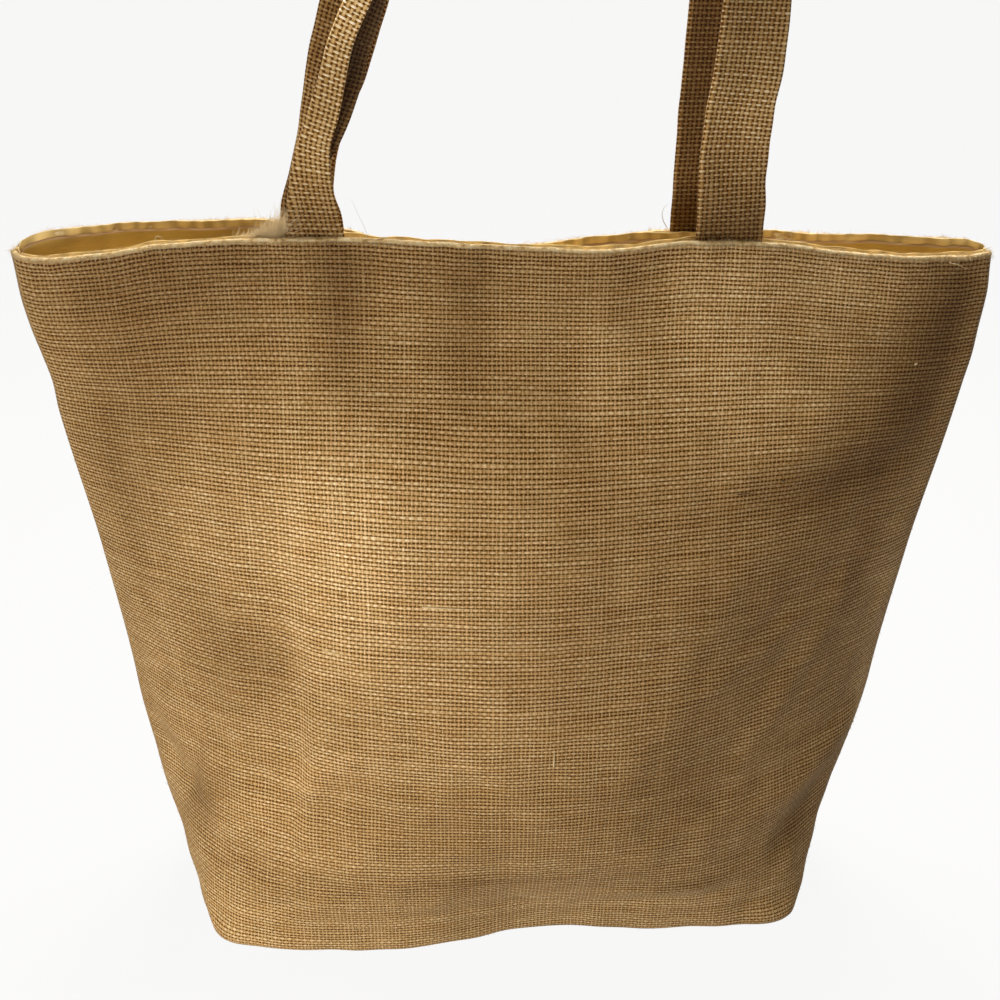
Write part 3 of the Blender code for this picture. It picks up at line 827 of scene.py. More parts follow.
def crossing(recipe, x, y, seed, weave):
    """Heights of the warp and weft thread at a place, and each thread's own number."""
    x, y = (recipe.total(count, *[recipe.noise(drift, x, y, seed) for drift in drifts])
            for count, drifts in ((x, WARP_DRIFTS), (y, WEFT_DRIFTS)))
    warp, weft = recipe.calc("FLOOR", x), recipe.calc("FLOOR", y)
    in_x = recipe.calc("SUBTRACT", recipe.calc("SUBTRACT", x, warp), 0.5)
    in_y = recipe.calc("SUBTRACT", recipe.calc("SUBTRACT", y, weft), 0.5)
    odd = recipe.calc("PINGPONG", recipe.calc("ADD", warp, weft), 1.0)
    over = recipe.calc("SUBTRACT", 1.0, recipe.times(odd, 2.0))
    heights = []
    for place, along, crimp, number, run, breadth, salt in (
            (in_x, in_y, weave.warp_lift, warp, y, weave.warp_half, WARP_SALT),
            (in_y, in_x, -weave.weft_lift, weft, x, weave.weft_half, WEFT_SALT)):
        spun = recipe.chance(number, salt + seed)
        half = recipe.total(breadth - SPUN / 2, recipe.times(spun, SPUN),
                            recipe.noise(SWELL, number, run, seed + salt))
        off = recipe.calc("DIVIDE", recipe.calc("ABSOLUTE", place), half)
        inside = recipe.calc("SUBTRACT", 1.0, recipe.times(off, off))
        rounded = recipe.calc("SQRT", recipe.calc("MAXIMUM", inside, 0.0))
        outside = recipe.calc("GREATER_THAN", off, 1.0)
        wave = recipe.calc("COSINE", recipe.times(along, np.pi))
        lift = recipe.times(recipe.times(wave, over), crimp)
        heights.append(recipe.calc("SUBTRACT", recipe.total(
            lift, recipe.times(rounded, THREAD_ROUND)),
            recipe.times(outside, OUT_OF_REACH)))
    return heights, (warp, weft), (x, y)


print("breadth of warp and weft in the body, mm:",
      np.round(2000 * np.array(BODY_WEAVE[2:]) * (WARP_PITCH, WEFT_PITCH), 2))

# %% Jute in plain weave
GAP_DEPTH = 1.1
WEAVE_HEIGHT = 0.00034
JUTE_SCALE = (
    (0.00, (0.085, 0.026, 0.0003)),
    (0.20, (0.180, 0.072, 0.0020)),
    (0.42, (0.370, 0.192, 0.040)),
    (0.66, (0.650, 0.438, 0.200)),
    (0.86, (0.900, 0.725, 0.470)),
    (1.00, (1.000, 0.890, 0.680)),
)
# The pale cream of the rim's top threads and roll: partly wear, partly painted highlight.
WORN_AND_LIT_SCALE = (
    (0.15, (0.480, 0.300, 0.110)),
    (0.50, (0.880, 0.680, 0.360)),
    (0.85, (1.000, 0.880, 0.600)),
)
REDDER, PALER = (1.02, 0.985, 0.955), (0.99, 1.005, 1.015)
HUE_REACH = 0.30
SHADE_FROM, SHADE_TO = -0.80, 0.86
SHADE_SHARE, LIGHTER = 0.74, 0.01
PATCH_SCALE = 14.0
PATCH_DARK, PATCH_LIGHT = 0.90, 1.10
WORN_AND_LIT_FROM, WORN_AND_LIT_TO, WORN_AND_LIT_MOST = -1.2, -0.4, 0.92
WORN_AND_LIT_MIDDLE = 0.55
THREAD_HUES = (Lumps(0.05, 0.80, 70, 1.0, 0.0), Lumps(0.90, 0.07, 75, 1.0, 0.0))
SPECKS = Lumps(1.7, 1.7, 80, 0.42, 2.0)
HAIR = Lumps(5.0, 5.0, 90, 0.5, 2.0)
WORN_AND_LIT_LUMPS = Lumps(0.55, 0.75, 95, 1.9, 2.0)
JUTE_FINISH = {"Roughness": 0.86, "Specular IOR Level": 0.25, "Sheen Weight": 0.06,
               "Sheen Roughness": 0.5, "Sheen Tint": (0.9, 0.75, 0.5, 1)}

# How light a thread is: its own chance, streaks along it, and what darkens every warp.
OWN_TONE, WARP_DARKER = 0.08, 0.14
WARP_TONE_SEED, WEFT_TONE_SEED = 500, 900
WARP_STREAKS = Lumps(2.6, 0.22, 40, 0.32, 1.0)
WEFT_STREAKS = Lumps(0.14, 2.6, 60, 0.42, 1.0)


def jute(name, seed, weave, rim_thread=None):
    """Burlap: the weave's height makes bump, painted shade in the gaps and down each thread's sides,
    and the thread's colour.
    """
    recipe = Recipe(name)
    x, y = recipe.threads()
    (warp_high, weft_high), (warp, weft), (wx, wy) = crossing(recipe, x, y, seed, weave)
    height = recipe.calc("MAXIMUM", recipe.calc("MAXIMUM", warp_high, weft_high), -GAP_DEPTH)
    warp_on_top = recipe.calc("GREATER_THAN", warp_high, weft_high)
    # Painted shade: the weave's lower parts, down each thread's sides and in the gaps, are darker, as
    # self-shadow between threads.
    shade = recipe.times(recipe.spread(height, SHADE_FROM, SHADE_TO), SHADE_SHARE)
    warp_own, weft_own = (recipe.times(recipe.chance(number, seed + salt), OWN_TONE)
                          for number, salt in ((warp, WARP_TONE_SEED), (weft, WEFT_TONE_SEED)))
    warp_tone = recipe.total(warp_own, -WARP_DARKER, recipe.noise(WARP_STREAKS, wx, wy, seed))
    weft_tone = recipe.total(weft_own, recipe.noise(WEFT_STREAKS, wx, wy, seed))
    picked = recipe.put("ShaderNodeMapRange", {
        "Value": warp_on_top, "To Min": weft_tone, "To Max": warp_tone}).outputs[0]
    value = recipe.total(shade, picked, recipe.noise(SPECKS, wx, wy, seed), LIGHTER)
    colour = recipe.ramp(value, JUTE_SCALE)
    # Single threads lean a little to red or to pale.
    hue = recipe.total(*[recipe.noise(lumps, wx, wy, seed) for lumps in THREAD_HUES])
    tint = recipe.mix(recipe.spread(hue, -HUE_REACH, HUE_REACH), REDDER, PALER)
    colour = recipe.mix(1.0, colour, tint, "MULTIPLY")
    patch = recipe.patches(PATCH_SCALE, 2.0, PATCH_DARK, PATCH_LIGHT)
    colour = recipe.shaded(colour, recipe.times(recipe.tone(), patch))
    if rim_thread is not None:
        # Pale cream over the rim: partly wear, partly painted highlight where the top of the rim
        # catches light.
        rim_worn_and_lit = recipe.spread(y, rim_thread + WORN_AND_LIT_FROM, rim_thread + WORN_AND_LIT_TO, 0.0, WORN_AND_LIT_MOST)
        lumps = recipe.noise(WORN_AND_LIT_LUMPS, x, y, seed)
        pale = recipe.ramp(recipe.total(lumps, WORN_AND_LIT_MIDDLE), WORN_AND_LIT_SCALE)
        colour = recipe.mix(rim_worn_and_lit, colour, pale)
    recipe.finish(colour, JUTE_FINISH)
    recipe.bump(recipe.total(height, recipe.noise(HAIR, wx, wy, seed)), WEAVE_HEIGHT)
    return recipe.material


body_jute = jute("Jute burlap", 2.0, BODY_WEAVE, RIM_HEIGHT / WEFT_PITCH)
print("nodes in the weave:", len(body_jute.node_tree.nodes))

# %% [markdown]
# ## The burlap panels
#
# The maker cuts two panels, front and back. Each carries half of the boxed base: they
# meet in a seam across the underside's middle. At the top the cloth turns over and goes
# down inside as a hem. So one grid runs from the middle of the underside, round the
# base edge, up the face, over the rim and down again.

# %% The burlap panels
JUTE_THICKNESS = 0.0011
HEM_ROLL = 0.0014
BASE_FRONT_HALF = 0.1525
BASE_HALF_DEPTH = PANEL_WIDTH / 2 - BASE_FRONT_HALF
PANEL_COLUMNS = 197
CROWDING = 1.2
FACE_ROWS = 166
BASE_ROWS = 28
ROLL_ROWS = 6
FLAP_ROWS = 9
EDGE_ROUND = 0.005
EDGE_PASSES = 4
SEAM_TURN = 0.015
UNEVEN = Ripple(0.00035, 0.018, 0.090, 11, 36)
HEM_UNEVEN = Ripple(0.0005, 0.008, 0.020, 31, 36)
HEM_BAND = 0.020
# Painted light on the rolled rim and the hem flap, which the lamps leave dark.
HEM_PAINTED_LIGHT = 1.5


def soften_edge(strip, distance):
    """Round the base edge: points near it move to the middle of their neighbours."""
    near = 0.5 * np.exp(-(distance[1:-1] / EDGE_ROUND) ** 2)[..., None]
    for _ in range(EDGE_PASSES):
        middle = (strip[:-2] + strip[2:]) / 2
        strip[1:-1] += near * (middle - strip[1:-1])
    return strip


def base_half(edge, across):
    """Rows from the underside's middle line out to the base edge, straight in between."""
    past = np.clip((np.abs(across) - BASE_FRONT_HALF) / BASE_HALF_DEPTH, 0, 1)
    end = np.where(across < 0, -edge[0, 0], edge[-1, 0])
    inner = end - BASE_HALF_DEPTH
    middle_x = np.where(past > 0, inner + past * BASE_HALF_DEPTH,
                        np.abs(across) / BASE_FRONT_HALF * inner)
    middle = np.stack([np.sign(across) * middle_x, 0 * across, 0 * across], axis=-1)
    share = np.linspace(0, 1, BASE_ROWS + 1)[:-1, None, None]
    return middle + share * (edge - middle)


def hem(face, side, share):
    """The rolled rim and the flap behind it. The roll is a half circle about a centre one
    radius inside the face, and the flap lies two radii in."""
    normal = outward(face, side)
    at_seam = ease((np.abs(share) - 1 + SEAM_TURN) / SEAM_TURN)[..., None]
    level_out = normal * (1, 1, 0) * (1 - at_seam) + at_seam * np.stack(
        [np.sign(share), 0 * share, 0 * share], axis=-1)
    level_out = unit(level_out)
    turn = np.linspace(0, np.pi, ROLL_ROWS + 1)[1:, None, None]
    centre = face[-1] - HEM_ROLL * level_out[-1]
    roll = centre + HEM_ROLL * (np.cos(turn) * level_out[-1] + np.sin(turn) * np.array((0, 0, 1)))
    down = slice(-2, -2 - FLAP_ROWS, -1)
    return roll, face[down] - 2 * HEM_ROLL * level_out[down]


def crowded(count):
    """Shares from -1 to 1 that lie closer near the seams: a stretch of a sine curve."""
    return np.sin(np.linspace(-CROWDING, CROWDING, count)) / np.sin(CROWDING)


def burlap_strip(side):
    """One burlap piece as a grid, with its thread counts and its brightness."""
    share, level = np.meshgrid(crowded(PANEL_COLUMNS), np.linspace(0, RIM_HEIGHT - HEM_ROLL, FACE_ROWS))
    across = share * PANEL_WIDTH / 2
    uneven = waves(UNEVEN, across, level, side)
    hem_wave = waves(HEM_UNEVEN, across, level, side) * ease((level - RIM_HEIGHT + HEM_BAND) / HEM_BAND)
    face = drape(cloth_place(side, share, level), side, share, level, uneven + hem_wave)
    base = base_half(face[0], across[0])
    strip = np.concatenate([base, face])
    reach = np.concatenate([np.linalg.norm(base - face[0], axis=-1), level])
    strip = soften_edge(strip, reach)
    roll, flap = hem(strip[BASE_ROWS:], side, share)
    grid = np.concatenate([strip, roll, flap])
    # Thread counts: across the panel, and along the cloth from the base edge.
    turned = RIM_HEIGHT - HEM_ROLL + HEM_ROLL * np.linspace(0, np.pi, ROLL_ROWS + 1)[1:]
    step = RIM_HEIGHT / FACE_ROWS
    run = np.concatenate([level[:, 0], turned, turned[-1] + step * (1 + np.arange(FLAP_ROWS))])
    upper = np.stack(np.broadcast_arrays(across[:1] / WARP_PITCH, run[:, None] / WEFT_PITCH), axis=-1)
    flat = np.concatenate([base, face[:1]])
    edge_reach = np.where(np.abs(across[0]) < BASE_FRONT_HALF,
                          np.minimum(np.abs(face[0, :, 1]), BASE_HALF_DEPTH), BASE_HALF_DEPTH)
    lower = np.stack([flat[..., 0] / WARP_PITCH,
                      (np.abs(flat[..., 1]) - edge_reach) / WEFT_PITCH], axis=-1)
    threads = np.concatenate([corners(lower), corners(upper)])
    tone = np.ones(grid.shape[:2])
    # Painted light and shade on the face, from the tables of light and dark places.
    tone[BASE_ROWS:BASE_ROWS + FACE_ROWS] = 2 ** fold_rise(PAINTED_SHADING[side], across, level)
    tone[:BASE_ROWS] = tone[BASE_ROWS]
    # Painted light: the roll and the flap behind it are made half as bright again.
    tone[BASE_ROWS + FACE_ROWS:] = HEM_PAINTED_LIGHT
    return grid, threads, tone


PANELS = {side: burlap_strip(side) for side in (FRONT, BACK)}


def panel(name, side):
    """A finished burlap panel."""
    grid, threads, tone = PANELS[side]
    return cloth_piece(name, [(grid, side == BACK)], [threads], [tone], JUTE_THICKNESS, body_jute)


burlap_front = panel("burlap_front", FRONT)
burlap_back = panel("burlap_back", BACK)
print("panel faces:", len(burlap_front.data.polygons), len(burlap_back.data.polygons))

# %% [markdown]
# ## The golden lining
#
# The lining is a second, thinner bag, sewn to the hem a few millimetres below the rim. The
# seam draws up a tan ridge. Above it the cotton's spare edge stands as a small ruffled
# band, and below it the lining is a little too full and puckers. Both ruffles grow from
# nothing at the seam, with an uneven wavelength.

# %% The golden lining's finish
COTTON_SCALE = (
    (0.0, (0.35, 0.200, 0.032)),
    (0.45, (0.58, 0.375, 0.080)),
    (1.0, (0.74, 0.530, 0.170)),
)
EDGE_TAN = (0.52, 0.32, 0.16)
# The band is the lining's own cotton; its paler gold is partly painted light where the top of the mouth
# catches it.
BAND_GOLD_AND_LIGHT = (1.0, 0.79, 0.35)
BAND_SHADES = ((0.2, (0.55, 0.42, 0.25)), (0.8, (1.1, 1.1, 1.1)))
SEAM_BLEND = 0.8
COTTON_PITCH = 0.00052
COTTON_HEIGHT = 0.00005
COTTON_MIDDLE, WEAVE_SHARE, SLUB_SHARE, SLUB_HEIGHT = 0.46, 0.07, 0.35, 2.0
COTTON_SLUBS = Lumps(0.02, 0.35, 4.0, 1.0, 2.0)
COTTON_PATCHES = Lumps(0.030, 0.040, 8.0, 0.55, 2.0)
COTTON_FINISH = {"Roughness": 0.78, "Sheen Weight": 0.15, "Sheen Tint": (1.0, 0.8, 0.45, 1)}


def cotton(name, ridge_from, band_from):
    """Fine plain cotton: a small even weave, soft patches, a tan seam and a pale band, partly painted
    light.
    """
    recipe = Recipe(name)
    x, y = recipe.threads()
    warp = recipe.calc("SINE", recipe.times(x, np.pi))
    weft = recipe.calc("SINE", recipe.times(y, np.pi))
    weave = recipe.times(warp, weft)
    slub = recipe.noise(COTTON_SLUBS, x, y)
    value = recipe.total(COTTON_MIDDLE, recipe.times(weave, WEAVE_SHARE),
                         recipe.times(slub, SLUB_SHARE), recipe.noise(COTTON_PATCHES, x, y))
    colour = recipe.ramp(value, COTTON_SCALE)
    colour = recipe.mix(recipe.spread(y, ridge_from, ridge_from + SEAM_BLEND), colour, EDGE_TAN)
    shades = recipe.mix(0.5, (1.0, 1.0, 1.0), recipe.ramp(value, BAND_SHADES))
    band = recipe.mix(1.0, BAND_GOLD_AND_LIGHT, shades, "MULTIPLY")
    colour = recipe.mix(recipe.spread(y, band_from, band_from + SEAM_BLEND), colour, band)
    recipe.finish(recipe.shaded(colour, recipe.tone()), COTTON_FINISH)
    recipe.bump(recipe.total(weave, recipe.times(slub, SLUB_HEIGHT)), COTTON_HEIGHT)
    return recipe.material


print("cotton threads to the inch:", round(0.0254 / COTTON_PITCH))

# %% The golden lining
COTTON_THICKNESS = 0.0006
LINING_DROP = 0.0040
LINING_FLOOR = 0.0032
LINING_COLUMNS = 321
LINING_BASE_STEP = 5
TAIL_ROOM = 0.0062
TAIL_REACH = 0.034
TAIL_STEEP = 1.8
TAIL_TOP = 0.060
TAIL_BAND = 0.025
STRAP_FEET = {FRONT: (-0.0890, 0.0990), BACK: (-0.0930, 0.0920)}
PUCKER, PUCKER_LEAN = 0.0016, 0.35
PUCKERS = Ripple(1.0, 0.011, 0.026, 57, 20)
PUCKER_END, PUCKER_END_BAND = 0.3655, 0.010
CALM_BELOW, CALM_BAND, CALM_SHARE = 0.350, 0.040, 0.8
SEAM_WAVE = Ripple(0.0004, 0.012, 0.050, 77, 16)
SEAM_WAVE_FROM = 0.3
EDGE_FOLD = 0.0008
EDGE_ROWS = 6
SEAM_SHADE = 0.70
SEAM_SHADE_REACH = 0.0007
BAND_RISE = 0.0046
BAND_ROWS = 10
BAND_RUFFLE, BAND_LEAN, BAND_OPENS = 0.0010, 0.6, 2.5
BAND_WAVES = Ripple(1.3, 0.0062, 0.0130, 91, 24)
RUFFLE_SHADE_DARKEST, RUFFLE_SHADE_CHANGE = 0.72, 0.40
STREAK_CHANGE = 0.10
STREAKS = Ripple(1.0, 0.010, 0.060, 131, 20)
LINING_LEVELS = np.concatenate([np.linspace(0, 0.300, 16)[:-1], np.linspace(0.300, 0.366, 30)])
RIDGE_END = LINING_LEVELS[-1] + np.pi * EDGE_FOLD
golden_cotton = cotton("Golden cotton", LINING_LEVELS[-1] / COTTON_PITCH, RIDGE_END / COTTON_PITCH)


def lining_face(side):
    """One panel of the lining: the burlap's own drape further in, with room for the straps."""
    share, level = np.meshgrid(crowded(LINING_COLUMNS), LINING_LEVELS)
    face = cloth_place(side, share, level, LINING_INSET)
    room = np.zeros_like(level)
    for foot in STRAP_FEET[side]:
        near = np.clip(1 - np.abs(face[..., 0] - foot) / TAIL_REACH, 0, 1)
        above = ease((level - RIM_HEIGHT + TAIL_TOP) / TAIL_BAND)
        room -= TAIL_ROOM * ease(TAIL_STEEP * near) * above
    across = share * PANEL_WIDTH / 2
    ruffle = 0.5 + 0.5 * np.tanh(waves(PUCKERS, across, PUCKER_LEAN * level, side))
    below = ease((PUCKER_END - level) / PUCKER_END_BAND)
    below = below * (1 - CALM_SHARE * ease((CALM_BELOW - level) / CALM_BAND))
    face = drape(face, side, share, level, room - PUCKER * ruffle * below)
    sink = (LINING_DROP - (RIM_HEIGHT - LINING_LEVELS[-1])) * ease(face[..., 2] / RIM_HEIGHT)
    face[..., 2] += LINING_FLOOR * (1 - face[..., 2] / RIM_HEIGHT) - sink
    face[..., 2] += waves(SEAM_WAVE, across, 0 * level, side) * (level > SEAM_WAVE_FROM)
    return face


def lining_strip(side, face):
    """Base half, face, seam ridge and ruffled band, as one grid."""
    across = crowded(LINING_COLUMNS) * PANEL_WIDTH / 2
    base = base_half(face[0] * (1, 1, 0), across)[::LINING_BASE_STEP]
    base[..., 2] = face[0, :, 2]
    out = unit(outward(face, side)[-1] * (1, 1, 0))
    turn = np.linspace(0, np.pi, EDGE_ROWS + 1)[1:, None, None]
    fold = face[-1] + EDGE_FOLD * (out - np.cos(turn) * out + np.sin(turn) * np.array((0, 0, 1)))
    rise = np.linspace(0, 1, BAND_ROWS + 1)[1:, None]
    ruffle = 0.5 + 0.5 * np.tanh(waves(BAND_WAVES, across, BAND_LEAN * BAND_RISE * rise, side))
    band = fold[-1] + BAND_RISE * rise[..., None] * np.array((0, 0, 1))
    band = band - (BAND_RUFFLE * ruffle * ease(BAND_OPENS * rise))[..., None] * out
    grid = np.concatenate([base, face, fold, band])
    length = np.linalg.norm(np.diff(grid[:, LINING_COLUMNS // 2], axis=0), axis=-1)
    run = np.concatenate([[0], np.cumsum(length)])
    run += LINING_LEVELS[-1] - run[len(base) + len(face) - 1]
    threads = np.stack(np.broadcast_arrays(across / COTTON_PITCH, run[:, None] / COTTON_PITCH), axis=-1)
    # Painted shadow beside the seam, painted shade in the ruffle's hollows, and tone that differs at
    # random down the lining.
    from_seam = np.abs(run - RIDGE_END + 0.5 * EDGE_FOLD)
    beside_seam = 1 - SEAM_SHADE * np.exp(-from_seam / SEAM_SHADE_REACH)
    ridge = len(base) + len(face) - 1
    beside_seam[ridge:ridge + EDGE_ROWS] = 1
    tone = np.ones(grid.shape[:2]) * beside_seam[:, None]
    tone[-BAND_ROWS:] *= RUFFLE_SHADE_DARKEST + RUFFLE_SHADE_CHANGE * ruffle
    tone[:-BAND_ROWS] *= 1 + STREAK_CHANGE * np.tanh(waves(STREAKS, across, 0, side))
    return grid, corners(threads), tone


front_face, back_face = lining_face(FRONT), lining_face(BACK)
for seam in (0, -1):
    front_face[:, seam] = back_face[:, seam] = (front_face[:, seam] + back_face[:, seam]) / 2
strips = [lining_strip(FRONT, front_face), lining_strip(BACK, back_face)]
lining_cloth = cloth_piece(
    "lining_cloth", [(strips[0][0], False), (strips[1][0], True)], [strip[1] for strip in strips],
    [strip[2] for strip in strips], COTTON_THICKNESS, golden_cotton)
print("lining faces:", len(lining_cloth.data.polygons))

# %% [markdown]
# ## The strap handles
#
# A strap is a strip of the same jute folded in four, so it is thick, with round edges.
# It could be a bevelled curve, but a curve can't fold lengthwise, as the left leg of the
# front handle does. So a flat oval section is carried along the strap's middle line. The
# section has a heading at each place across: it turns a little all the way, which is a
# curl, and sharply at the crease, which is a fold. Adding the headings up gives places.

# %% The straps' paths
STRAP_WIDTH = 0.031
STRAP_THICKNESS = 0.0029
STRAP_INSET = 0.0041
STRAP_TAIL = 0.026
STRAIGHTENS_FROM = 0.004
STRAIGHTENS_IN = 0.070
STRAP_RISE = 0.240
STRAP_LEAN = 0.005
TOP_START = 0.3
TOP_LENGTH = 0.4
STRAP_STATIONS = 280
STRAP_AROUND = 72
PLACES_ACROSS = 9
STRAP_WARP_PITCH = 0.0022
LINE_SMOOTHING, SLANT_SMOOTHING = 3, 6
ACROSS_STEPS = 121
CREASE_BAND = 0.22
FLATNESS = 9
EDGE_FULLNESS = 2.6
# Painted highlight on the strap's round edges, which catch the light.
EDGE_HIGHLIGHT, EDGE_FROM, EDGE_BAND = 0.30, 0.43, 0.05
INNER_SHADE = 0.76
THICKER = Ripple(0.10, 0.012, 0.050, 0, 36)
WIDER = Ripple(0.012, 0.015, 0.070, 1, 36)

# The tone column is painted light and shade on a strap's front-facing side: brighter up the front
# handle's left leg, darker on the back handle and near the mouth.
StrapRow = namedtuple("StrapRow", "across height turn curl fold crease tone")
FRONT_STRAP = (
    StrapRow(-0.0890, 0.360, 0, 0, 172, -0.60, 0.80),
    StrapRow(-0.0890, 0.3775, 0, 0, 172, -0.33, 0.55),
    StrapRow(-0.0890, 0.385, 0, 2, 172, -0.27, 0.72),
    StrapRow(-0.0892, 0.394, 0, 4, 172, -0.14, 0.98),
    StrapRow(-0.0886, 0.403, 0, 5, 172, -0.08, 1.20),
    StrapRow(-0.0874, 0.412, 0, 6, 172, 0.035, 1.50),
    StrapRow(-0.0842, 0.421, 0, 8, 170, 0.07, 1.45),
    StrapRow(-0.0807, 0.430, 0, 8, 166, 0.09, 1.28),
    StrapRow(-0.0775, 0.440, 0, 10, 152, 0.145, 1.35),
    StrapRow(-0.0748, 0.450, 0, 12, 148, 0.17, 1.65),
    StrapRow(-0.0715, 0.4595, 0, 12, 146, 0.18, 2.00),
    StrapRow(-0.0645, 0.4725, 0, 12, 138, 0.18, 2.30),
    StrapRow(-0.0440, 0.515, 30, 12, 110, 0.15, 1.30),
    StrapRow(-0.0240, 0.560, 72, 10, 60, 0.10, 1.10),
    StrapRow(0.0050, 0.597, 88, 5, 15, 0.05, 1.00),
    StrapRow(0.0420, 0.610, 90, 4, 0, 0.00, 1.00),
    StrapRow(0.0780, 0.595, 90, 5, 0, 0.00, 1.00),
    StrapRow(0.0985, 0.555, 70, 20, 0, 0.00, 0.95),
    StrapRow(0.1015, 0.515, 35, 25, 0, 0.00, 0.90),
    StrapRow(0.1003, 0.472, 12, 22, 0, 0.00, 0.95),
    StrapRow(0.0996, 0.445, 8, 24, 0, 0.00, 1.25),
    StrapRow(0.0980, 0.430, 5, 26, 0, 0.00, 1.40),
    StrapRow(0.0975, 0.412, 4, 28, 0, 0.00, 0.98),
    StrapRow(0.0983, 0.394, 3, 10, 0, 0.00, 0.74),
    StrapRow(0.0990, 0.376, 0, 0, 0, 0.00, 0.32),
)
BACK_STRAP = (
    StrapRow(-0.0948, 0.376, 0, 0, 0, 0, 0.50),
    StrapRow(-0.0945, 0.390, 38, 10, 0, 0, 0.55),
    StrapRow(-0.0912, 0.406, 46, 20, 0, 0, 0.90),
    StrapRow(-0.0862, 0.426, 42, 30, 0, 0, 0.80),
    StrapRow(-0.0787, 0.446, 22, 30, 0, 0, 0.58),
    StrapRow(-0.0705, 0.471, 16, 25, 0, 0, 0.56),
    StrapRow(-0.0520, 0.520, 45, 20, 0, 0, 0.75),
    StrapRow(-0.0310, 0.565, 78, 10, 0, 0, 0.95),
    StrapRow(-0.0020, 0.600, 90, 5, 0, 0, 1.00),
    StrapRow(0.0350, 0.612, 90, 4, 0, 0, 1.00),
    StrapRow(0.0700, 0.597, 90, 5, 0, 0, 0.95),
    StrapRow(0.0900, 0.557, 70, 15, 0, 0, 0.75),
    StrapRow(0.0930, 0.515, 35, 20, 0, 0, 0.50),
    StrapRow(0.0920, 0.472, 12, 30, 0, 0, 0.42),
    StrapRow(0.0915, 0.425, 5, 26, 0, 0, 0.42),
    StrapRow(0.0920, 0.376, 0, 0, 0, 0, 0.36),
)
print("rows of the straps' paths:", len(FRONT_STRAP), len(BACK_STRAP))


# %% Carry a section along a strap
def rolling_mean(values, reach):
    """The mean of each value and `reach` neighbours either side, carried straight past the ends."""
    padded = np.pad(values, reach, mode="reflect", reflect_type="odd")
    return np.convolve(padded, np.full(2 * reach + 1, 1 / (2 * reach + 1)), mode="valid")


def burlap_face(x, height, side):
    """y of the burlap's outer face at places x across the bag, at one height of cloth."""
    full = OUTLINES[0.0][2]
    lift = read_row(RIMS[side], "across", "height",
                    np.mean(x) / np.interp(height, LEVELS, full)) - RIM_HEIGHT
    level = np.full_like(SHARES, height - rim_share(height) * lift)
    line = cloth_place(side, SHARES, level)
    return np.interp(x, line[:, 0], line[:, 1])


def strap_line(rows, side):
    """Stations along a strap: middle line, slant, turn, curl, fold, tone, burlap behind."""
    tails = [end._replace(height=end.height - STRAP_TAIL) for end in (rows[0], rows[-1])]
    rows = (tails[0], *rows, tails[1])
    x, z = column(rows, "across"), column(rows, "height")
    run = np.concatenate([[0], np.cumsum(np.hypot(np.diff(x), np.diff(z)))])
    stops = np.linspace(0, run[-1], STRAP_STATIONS)
    middle_x, middle_z, turn, curl, fold, crease, tone = (
        rolling_mean(smooth_read(run, column(rows, name), stops), LINE_SMOOTHING)
        for name in StrapRow._fields)
    slant = np.arctan2(rolling_mean(np.gradient(middle_x), SLANT_SMOOTHING),
                       rolling_mean(np.gradient(middle_z), SLANT_SMOOTHING))
    places = STRAP_WIDTH * np.linspace(-0.5, 0.5, PLACES_ACROSS)
    share = ease((stops / run[-1] - TOP_START) / TOP_LENGTH)
    face = np.zeros((STRAP_STATIONS, len(places)))
    for station, height in enumerate(np.minimum(middle_z, RIM_HEIGHT)):
        left = burlap_face(x[0] + places, height, side)
        right = burlap_face(x[-1] - places, height, side)
        face[station] = left + (right - left) * share[station]
    straight = ease((middle_z - RIM_HEIGHT - STRAIGHTENS_FROM) / STRAIGHTENS_IN)[:, None]
    face += (face.mean(axis=1, keepdims=True) - face) * straight
    return stops, middle_x, middle_z, slant, *np.radians((turn, curl, fold)), crease, tone, face


def folded_section(place, out, curl, fold, crease):
    """Bend a flat section. The heading is -curl * place, less the fold's angle left of the
    crease; sideways and depth are the sums of its cosine and sine."""
    steps = np.linspace(-0.5, 0.5, ACROSS_STEPS)[None, :]
    heading = -curl * steps - fold * ease((crease - steps) / CREASE_BAND + 0.5)
    stride = STRAP_WIDTH / (ACROSS_STEPS - 1)
    sideways, depth = (stride * (np.cumsum(part, axis=1) - part / 2)
                       for part in (np.cos(heading), np.sin(heading)))
    sideways = sideways - (sideways[:, -1:] + sideways.min(axis=1, keepdims=True)) / 2
    depth = depth - depth[:, -1:]
    cell = (place + 0.5) * (ACROSS_STEPS - 1)
    left = np.minimum(np.floor(cell).astype(int), ACROSS_STEPS - 2)[0]
    part = cell - left
    sideways, depth, heading = (line[:, left] * (1 - part) + line[:, left + 1] * part
                                for line in (sideways, depth, heading))
    return sideways - out * np.sin(heading), depth + out * np.cos(heading)


